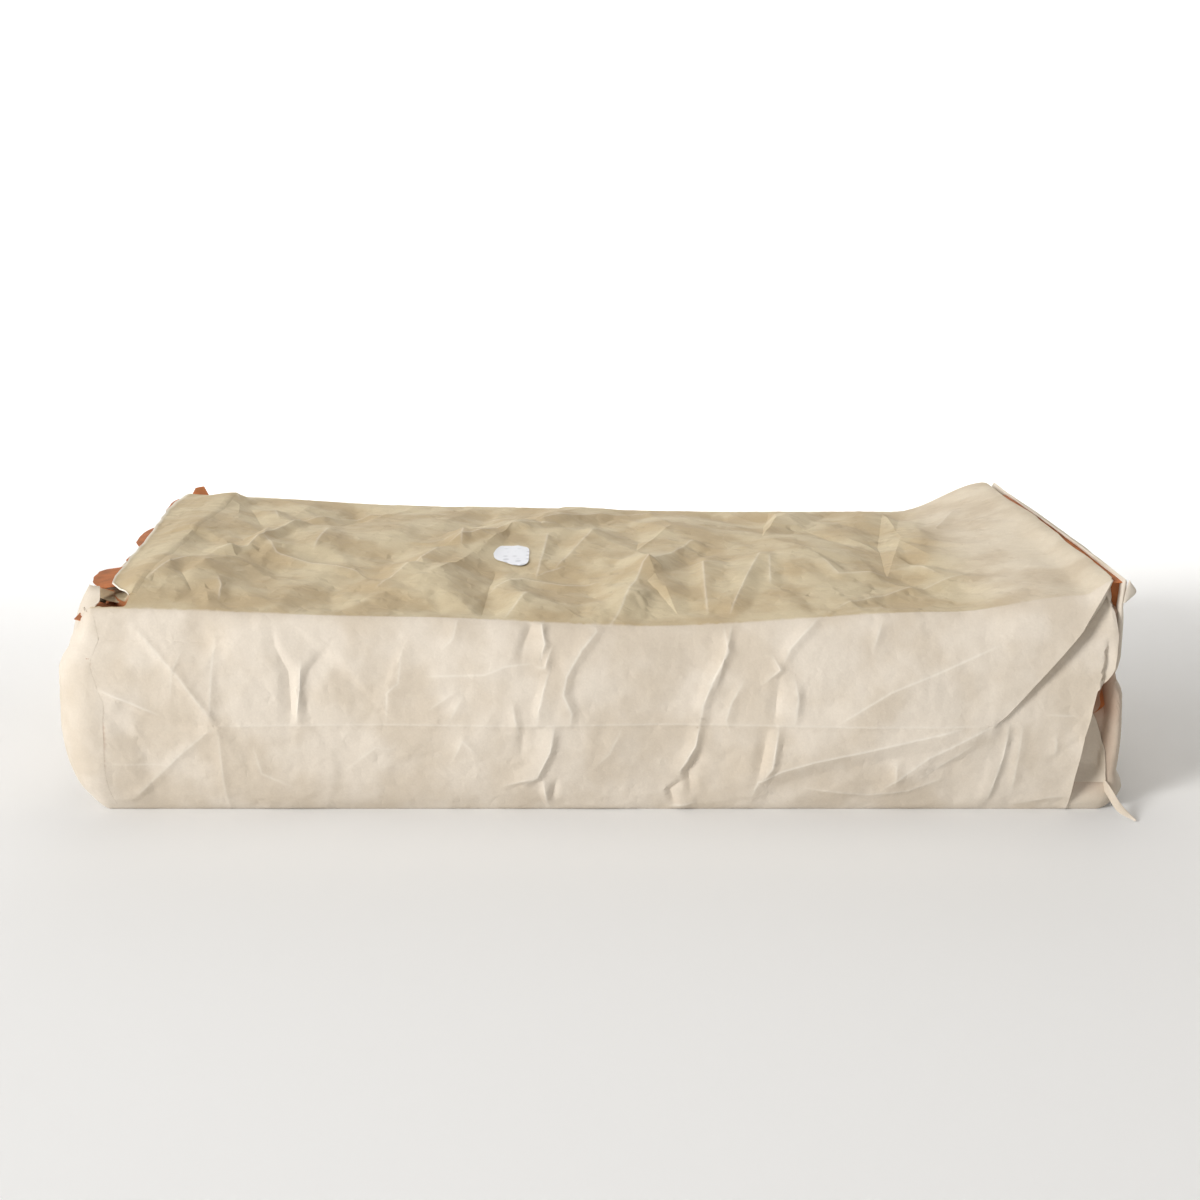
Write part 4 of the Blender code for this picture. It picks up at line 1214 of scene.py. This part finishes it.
def kraft_sack_paper(settings):
    """Unbleached extensible kraft: matt, pale tan, faintly mottled, paler where creased.

    The eye reads broad soft patches, thin pale lines on the creases (rubbed paper and a painted
    highlight), small flat facets and the fine fleck of long fibres. The upper face is painted
    deeper and yellower than the sides: painted shade.
    """
    look, tree, shader, place = bare_material("kraft_sack_paper")
    upper, wear_and_highlight, gap = (
        add_node(tree, "Attribute", output="Fac", attribute_name=name) for name in ("upper", "wear_and_highlight", "gap")
    )
    smooth, coloured = {"interpolation_type": "SMOOTHSTEP"}, {"output": 2, "data_type": "RGBA"}

    # The patches, on the sides and on the upper face, whose deeper colours are painted shade.
    wide = add_node(tree, "TexNoise", {"Vector": place, "Scale": 1 / PATCH_WIDTH, "Detail": 3.0})
    patch = add_node(tree, "MapRange", {"Value": wide, "From Min": 0.36, "From Max": 0.64}, **smooth)
    shades = {0: patch, 6: (*settings.side_shade, 1), 7: (*settings.side_paper, 1)}
    side = add_node(tree, "Mix", shades, **coloured)
    # The upper face's colours: deeper, as painted shade.
    shades = {0: patch, 6: (*settings.upper_mottling_painted_shade, 1), 7: (*settings.upper_paper_painted_shade, 1)}
    top = add_node(tree, "Mix", shades, **coloured)
    colour = add_node(tree, "Mix", {0: upper, 6: side, 7: top}, **coloured)

    # The fleck of the fibres, the pale creases (rubbed paper and a painted highlight), and the brown where
    # the plies part (the inner ply and painted shade).
    fibres = {"Vector": place, "Scale": 1 / FIBRE_LENGTH, "Detail": 3.0, "Roughness": 0.65}
    fibre = add_node(tree, "TexNoise", fibres)
    spread = {"Value": fibre, "From Min": 0.3, "From Max": 0.7, "To Min": 0.965, "To Max": 1.03}
    fleck = add_node(tree, "MapRange", spread)
    flecked = add_node(tree, "VectorMath", {0: colour, "Scale": fleck}, operation="SCALE")
    worn_and_lit = add_node(tree, "Mix", {0: wear_and_highlight, 6: flecked, 7: (*settings.worn_and_highlight_paper, 1)}, **coloured)
    # Brown where the plies part: the inner ply's darker brown, which is also painted shade in the recesses
    # and gaps.
    whole = add_node(tree, "Mix", {0: gap, 6: worn_and_lit, 7: (*settings.inner_shade, 1)}, **coloured)

    # Small flat facets, each leaned its own way and level at its rim.
    cells = {"Vector": place, "Scale": 1 / FACET_WIDTH}
    cell = add_node(tree, "TexVoronoi", cells, "Position", feature="F1")
    rim = add_node(tree, "TexVoronoi", cells, feature="DISTANCE_TO_EDGE")
    offset = add_node(tree, "VectorMath", {0: place, 1: cell}, operation="SUBTRACT")
    middle = {0: cell.node.outputs["Color"], 1: (0.5, 0.5, 0.5)}
    lean = add_node(tree, "VectorMath", middle, operation="SUBTRACT")
    facet = add_node(tree, "VectorMath", {0: offset, 1: lean}, "Value", operation="DOT_PRODUCT")
    depth = add_node(tree, "MapRange", {"Value": upper, "To Min": 0.10, "To Max": 0.26})
    fade = {"Value": rim, "From Min": 0.0, "From Max": 0.45, "To Max": depth}
    level = add_node(tree, "MapRange", fade, **smooth)
    facets = add_node(tree, "Math", {0: facet, 1: level}, operation="MULTIPLY")

    # Soft wrinkles and the fibres are added, in metres.
    waves = {"Vector": place, "Scale": 1 / WRINKLE_WIDTH, "Detail": 2.0, "Roughness": 0.4}
    wave = add_node(tree, "TexNoise", waves)
    wrinkles = add_node(tree, "Math", {0: wave, 1: 1.1 * MM, 2: facets}, operation="MULTIPLY_ADD")
    height = add_node(tree, "Math", {0: fibre, 1: 0.07 * MM, 2: wrinkles}, operation="MULTIPLY_ADD")
    bump = add_node(tree, "Bump", {"Height": height, "Distance": 1.0})
    sockets = {"Base Color": whole, "Roughness": 0.78, "Specular IOR Level": 0.35, "Normal": bump}
    fill_inputs(tree, shader, sockets)
    return look


def brown_inner_ply(settings):
    """The inner ply: unbleached wet-strength kraft, a redder brown and duller than the outside."""
    look, tree, shader, place = bare_material("brown_inner_ply")
    patch = add_node(tree, "TexNoise", {"Vector": place, "Scale": 1 / (9 * MM), "Detail": 3.0})
    mottle = add_node(tree, "MapRange", {"Value": patch, "From Min": 0.35, "From Max": 0.65})
    shades = {0: mottle, 6: (*settings.inner_shade, 1), 7: (*settings.inner_paper, 1)}
    colour = add_node(tree, "Mix", shades, 2, data_type="RGBA")
    fibre = add_node(tree, "TexNoise", {"Vector": place, "Scale": 1 / (1.5 * MM), "Detail": 3.0})
    bump = add_node(tree, "Bump", {"Height": fibre, "Distance": 0.08 * MM})
    fill_inputs(tree, shader, {"Base Color": colour, "Roughness": 0.85, "Normal": bump})
    return look


def cut_paper_edge(settings):
    """Where kraft is cut or torn its long fibres show, almost white and fuzzy."""
    look, tree, shader, place = bare_material("cut_paper_edge")
    fuzz = add_node(tree, "TexNoise", {"Vector": place, "Scale": 1 / (3 * MM), "Detail": 2.0})
    shades = {0: fuzz, 6: (*settings.side_paper, 1), 7: (*settings.worn_and_highlight_paper, 1)}
    colour = add_node(tree, "Mix", shades, 2, data_type="RGBA")
    fill_inputs(tree, shader, {"Base Color": colour, "Roughness": 0.95})
    return look


def paper_looks(settings):
    """The outer side, the inner side and the cut edge of a sheet of the sack's paper."""
    return kraft_sack_paper(settings), brown_inner_ply(settings), cut_paper_edge(settings)


def sticker_label_paper(settings):
    """Coated label paper: cool white, with a soft sheen and a few faint grey printed dots."""
    look, tree, shader, place = bare_material("sticker_label_paper")
    spots = {"Vector": place, "Scale": 1 / (7 * MM), "Randomness": 0.5}
    dots = add_node(tree, "TexVoronoi", spots, feature="F1")
    spread = {"Value": dots, "From Min": 0.18, "From Max": 0.42, "To Min": 0.55, "To Max": 0.0}
    faint = add_node(tree, "MapRange", spread, interpolation_type="SMOOTHSTEP")
    inks = {0: faint, 6: (*settings.sticker_paper, 1), 7: (*settings.sticker_print, 1)}
    colour = add_node(tree, "Mix", inks, 2, data_type="RGBA")
    fill_inputs(tree, shader, {"Base Color": colour, "Roughness": 0.45, "Coat Weight": 0.15})
    return look


def studio_card(settings):
    """Matt pale studio card, in one sweep from the floor up."""
    look, tree, shader, _ = bare_material("studio_card")
    sockets = {"Base Color": (*settings.floor_colour, 1), "Roughness": 0.92, "Specular IOR Level": 0.2}
    fill_inputs(tree, shader, sockets)
    return look


def colour_setting(name, description, hex_colour):
    return bpy.props.FloatVectorProperty(
        name=name, description=description, subtype="COLOR", size=3, min=0.0, max=1.0,
        default=linear(hex_colour),
    )


def thickness_setting(name, description, default):
    return bpy.props.FloatProperty(
        name=name, description=description, default=default, min=0.0001, max=0.001,
        precision=5, unit="LENGTH",
    )


class PaperSackSettings(bpy.types.PropertyGroup):
    """What a user would change on the sack."""

    crumple: bpy.props.FloatProperty(
        name="Crumple",
        description="How deep the paper's creases are, as a share of the real ones",
        default=1.0,
        min=0.0,
        max=1.2,
        subtype="FACTOR",
    )
    ply_thickness: thickness_setting(
        "Ply thickness", "Thickness of the loose plies at both ends, in metres", 0.00045
    )
    sticker_thickness: thickness_setting(
        "Sticker thickness", "Thickness of the sticker on the upper face, in metres", 0.0003
    )
    side_paper: colour_setting("Side paper", "Kraft paper of the sides and ends", "#DBD1C3")
    side_shade: colour_setting("Side mottling", "Darker patches of the sides' paper", "#CFC3B2")
    # The upper face's colours are deeper than the sides': painted shade.
    upper_paper_painted_shade: colour_setting("Upper paper", "Kraft paper of the upper face", "#CDBFA1")
    upper_mottling_painted_shade: colour_setting("Upper mottling", "Darker patches of the upper face", "#BCA988")
    # Paler crease lines: rubbed paper and a painted highlight on the crests; also the fuzz of cut edges.
    worn_and_highlight_paper: colour_setting("Worn creases", "Paper rubbed pale along the creases", "#F0EADF")
    inner_paper: colour_setting("Inner ply", "Brown paper of the inner ply", "#B76D3C")
    # Also the brown painted into the tube where its plies part, partly as painted shade.
    inner_shade: colour_setting("Inner ply mottling", "Darker patches of the inner ply", "#9A5E36")
    sticker_paper: colour_setting("Sticker", "Paper of the sticker", "#DFE2EA")
    sticker_print: colour_setting("Sticker dots", "Faint dots printed on the sticker", "#A9ADB8")


class SackStageSettings(bpy.types.PropertyGroup):
    """What a user would change on the stage."""

    floor_colour: colour_setting("Floor", "Colour of the floor and backdrop", "#EEEFF0")
    key_power: bpy.props.FloatProperty(
        name="Key light",
        description="Power of the soft light from the left front",
        default=215.0,
        min=0.0,
        unit="POWER",
    )
    sky_strength: bpy.props.FloatProperty(
        name="Room light",
        description="Strength of the even light from all round",
        default=0.38,
        min=0.0,
    )


class MESH_OT_sack_tube(bpy.types.Operator):
    """The filled paper tube, with its creases"""

    bl_idname = "mesh.sack_tube"
    bl_label = "Filled paper tube"

    def execute(self, context):
        settings = context.scene.paper_sack
        places, triangles, numbers = tube_mesh(settings.crumple)
        tube = new_paper("sack_paper", places, triangles)
        for name, values in numbers.items():
            set_number(tube, name, values)
        close_seams(0.06 * MM, outwards=True)
        bpy.ops.object.shade_smooth_by_angle(angle=math.radians(24))
        finish_piece(tube, [kraft_sack_paper(settings)], "kraft_paper", "paper_sack")
        return {"FINISHED"}


class MESH_OT_sack_base_plies(bpy.types.Operator):
    """The loose plies of the folded block bottom"""

    bl_idname = "mesh.sack_base_plies"
    bl_label = "Block bottom plies"

    def execute(self, context):
        settings = context.scene.paper_sack
        outer, inner, edge = paper_looks(settings)
        tree = paper_tree()
        for name, places, facing, front in (
            ("top_panel_edge", top_panel_edge(tree), (0, 0, 1), outer),
            ("base_outer_flap", base_outer_flap(tree), (-1, 0, 0), outer),
            ("base_inner_ply", base_inner_ply(), (0, 0, 1), inner),
            ("base_gusset_strip", ruled(*BASE_STRIP, 20, 8, (0, 0, 0.6)), (0, 0, 1), outer),
            ("base_flap_corner", ruled(*BASE_FLAP_CORNER, 24, 12, (-1, -1, 0)), (-1, -0.6, 0.2), outer),
            ("base_brown_patch", ruled(*BASE_BROWN_PATCH, 24, 12, (0, 0, -0.8)), (0, 0, 1), inner),
            ("base_back_ear", ruled(*BASE_BACK_EAR, 10, 6, (-1.0, 0, 0)), (0, -1, 0), inner),
        ):
            plies = PANEL_PLIES if name == "top_panel_edge" else 1
            sheet = thin_sheet(name, places, facing, plies * settings.ply_thickness)
            # These sheets take the upper face's deeper colour, its painted shade.
            if name in ("top_panel_edge", "base_gusset_strip"):
                set_number(sheet, "upper", np.ones(len(sheet.data.vertices)))
            if name == "top_panel_edge":
                # The last row of the panel's upper side is painted pale: a painted highlight along its
                # curled cut edge.
                edge_highlight = np.zeros(places.shape[:2])
                edge_highlight[:, -1] = 1.0
                set_number(sheet, "wear_and_highlight", np.concatenate([edge_highlight.ravel()] * 2))
            finish_piece(sheet, (front, inner, edge), "kraft_paper")
        return {"FINISHED"}


class MESH_OT_sack_mouth_plies(bpy.types.Operator):
    """The folded-over mouth with its tucked gusset and its ears"""

    bl_idname = "mesh.sack_mouth_plies"
    bl_label = "Mouth plies"

    def execute(self, context):
        settings = context.scene.paper_sack
        looks = paper_looks(settings)
        tree = paper_tree()
        front, back = crumpled(mouth_plies(-1), 57, 0.3, 26), crumpled(mouth_plies(1), 58, 0.3, 26)
        for column in (0, -1):
            front[column] = back[column] = 0.5 * (front[column] + back[column])
        loop = np.concatenate([front[::-1], back[1:]])[::-1]
        flap = thin_sheet("mouth_flap", loop, None, settings.ply_thickness)
        finish_piece(flap, looks, "kraft_paper")
        tucked = thin_sheet("mouth_tucked_ply", tucked_ply(tree), (0, -1, 0), settings.ply_thickness)
        finish_piece(tucked, looks, "kraft_paper")
        for name, front, edges, bow, facing in MOUTH_SHEETS:
            places = crumpled(ruled(*edges, 40, 10, bow), len(name), 0.25, 9)
            sheet = thin_sheet(name, places, facing, settings.ply_thickness)
            outward = looks[front == "inner"]
            finish_piece(sheet, (outward, *looks[1:]), "kraft_paper")
        return {"FINISHED"}


class MESH_OT_sack_sticker(bpy.types.Operator):
    """The small sticker on the upper face"""

    bl_idname = "mesh.sack_sticker"
    bl_label = "Sticker"

    def execute(self, context):
        settings = context.scene.paper_sack
        tree = paper_tree()
        outline = smooth_line([*STICKER_OUTLINE, STICKER_OUTLINE[0]], 73)[:, None]
        shares = np.linspace(0, 1, 9)[None, :, None]
        flat = outline * shares + np.array(STICKER_MIDDLE)
        places = np.array(
            [[laid(tree, (*spot, INSIDE_Z), (0, 0, 1), STICKER_LIFT) for spot in line] for line in flat]
        )
        level = places[..., 2].mean()
        places[..., 2] += STICKER_LEVELLED * (level - places[..., 2]).clip(0)
        sticker = thin_sheet("label_sticker", places, (0, 0, 1), settings.sticker_thickness)
        finish_piece(sticker, [sticker_label_paper(settings)], "sticker_paper", "sticker")
        return {"FINISHED"}


def floor_sweep(settings):
    """The floor, turned up behind the camera's view in one wide bend."""
    bpy.ops.mesh.primitive_plane_add(size=FLOOR_SIZE, location=(0, FLOOR_MIDDLE_Y, 0))
    floor = bpy.context.object
    floor.name = floor.data.name = "studio_floor"
    bpy.ops.object.mode_set(mode="EDIT")
    bpy.ops.mesh.select_mode(type="EDGE")
    bpy.ops.mesh.select_all(action="DESELECT")
    bpy.ops.object.mode_set(mode="OBJECT")
    for edge in floor.data.edges:
        edge.select = all(floor.data.vertices[v].co.y > 0 for v in edge.vertices)
    bpy.ops.object.mode_set(mode="EDIT")
    bpy.ops.mesh.extrude_region_move(TRANSFORM_OT_translate={"value": (0, 0, BACKDROP_HEIGHT)})
    bpy.ops.mesh.select_all(action="SELECT")
    bpy.ops.mesh.normals_make_consistent(inside=False)
    bpy.ops.object.mode_set(mode="OBJECT")
    bpy.ops.object.transform_apply(location=True, rotation=True, scale=True)
    bpy.ops.object.modifier_add(type="BEVEL")
    sweep = floor.modifiers[-1]
    sweep.width, sweep.segments = 1.8, 16
    bpy.ops.object.modifier_apply(modifier=sweep.name)
    bpy.ops.object.shade_smooth()
    floor.data.materials.append(studio_card(settings))


def soft_light(name, size, power, colour, place, target):
    """A round lamp at place that looks at target."""
    bpy.ops.object.light_add(type="AREA", location=place)
    lamp = bpy.context.object
    lamp.name = lamp.data.name = name
    lamp.data.shape = "DISK"
    lamp.data.size, lamp.data.energy, lamp.data.color = size, power, colour
    aim = Vector(target) - Vector(place)
    lamp.rotation_euler = aim.to_track_quat("-Z", "Y").to_euler()


class SCENE_OT_sack_stage(bpy.types.Operator):
    """The pale floor and backdrop, the soft lights and the camera"""

    bl_idname = "scene.sack_stage"
    bl_label = "Studio stage"

    def execute(self, context):
        settings = context.scene.sack_stage
        deselect_all()
        floor_sweep(settings)
        soft_light("window_key", 1.6, settings.key_power, (1.0, 0.99, 0.975), KEY_PLACE, SACK_MIDDLE)
        soft_light("warm_top", 1.6, 9, (1.0, 0.9, 0.76), (0.3, 0.5, 2.4), SACK_MIDDLE)
        soft_light("backdrop_wash", 2.6, 150, (1.0, 0.99, 0.97), (0, 1.5, 2.5), (0, 4.2, 0.9))

        world = context.scene.world = bpy.data.worlds.new("studio_world")
        world.use_nodes = True
        sky = world.node_tree.nodes["Background"]
        sky.inputs["Color"].default_value = (1.0, 0.975, 0.94, 1)
        sky.inputs["Strength"].default_value = settings.sky_strength

        tilt = math.radians(90 - CAMERA_LOOKS_DOWN)
        bpy.ops.object.camera_add(location=CAMERA_PLACE, rotation=(tilt, 0, 0))
        camera = context.scene.camera = context.object
        camera.name = camera.data.name = "photo_camera"
        camera.data.lens, camera.data.sensor_width = 48.6, 36
        camera.data.clip_end = 60
        context.scene.view_settings.view_transform = "Standard"
        return {"FINISHED"}


class VIEW3D_PT_paper_sack(bpy.types.Panel):
    """The sack's sizes and colours, and a button for each piece"""

    bl_label = "Paper plaster sack"
    bl_idname = "VIEW3D_PT_paper_sack"
    bl_space_type = "VIEW_3D"
    bl_region_type = "UI"
    bl_category = "Sack"

    def draw(self, context):
        for settings in (context.scene.paper_sack, context.scene.sack_stage):
            box = self.layout.box()
            for name in settings.__annotations__:
                box.prop(settings, name)
        for operator in OPERATORS:
            self.layout.operator(operator.bl_idname)


OPERATORS = (
    MESH_OT_sack_tube,
    MESH_OT_sack_base_plies,
    MESH_OT_sack_mouth_plies,
    MESH_OT_sack_sticker,
    SCENE_OT_sack_stage,
)
CLASSES = (PaperSackSettings, SackStageSettings, *OPERATORS, VIEW3D_PT_paper_sack)


def register():
    for item in CLASSES:
        bpy.utils.register_class(item)
    bpy.types.Scene.paper_sack = bpy.props.PointerProperty(type=PaperSackSettings)
    bpy.types.Scene.sack_stage = bpy.props.PointerProperty(type=SackStageSettings)


def unregister():
    del bpy.types.Scene.paper_sack
    del bpy.types.Scene.sack_stage
    for item in reversed(CLASSES):
        bpy.utils.unregister_class(item)


def main():
    register()
    bpy.ops.mesh.sack_tube()
    bpy.ops.mesh.sack_base_plies()
    bpy.ops.mesh.sack_mouth_plies()
    bpy.ops.mesh.sack_sticker()
    bpy.ops.scene.sack_stage()


if __name__ == "__main__":
    main()
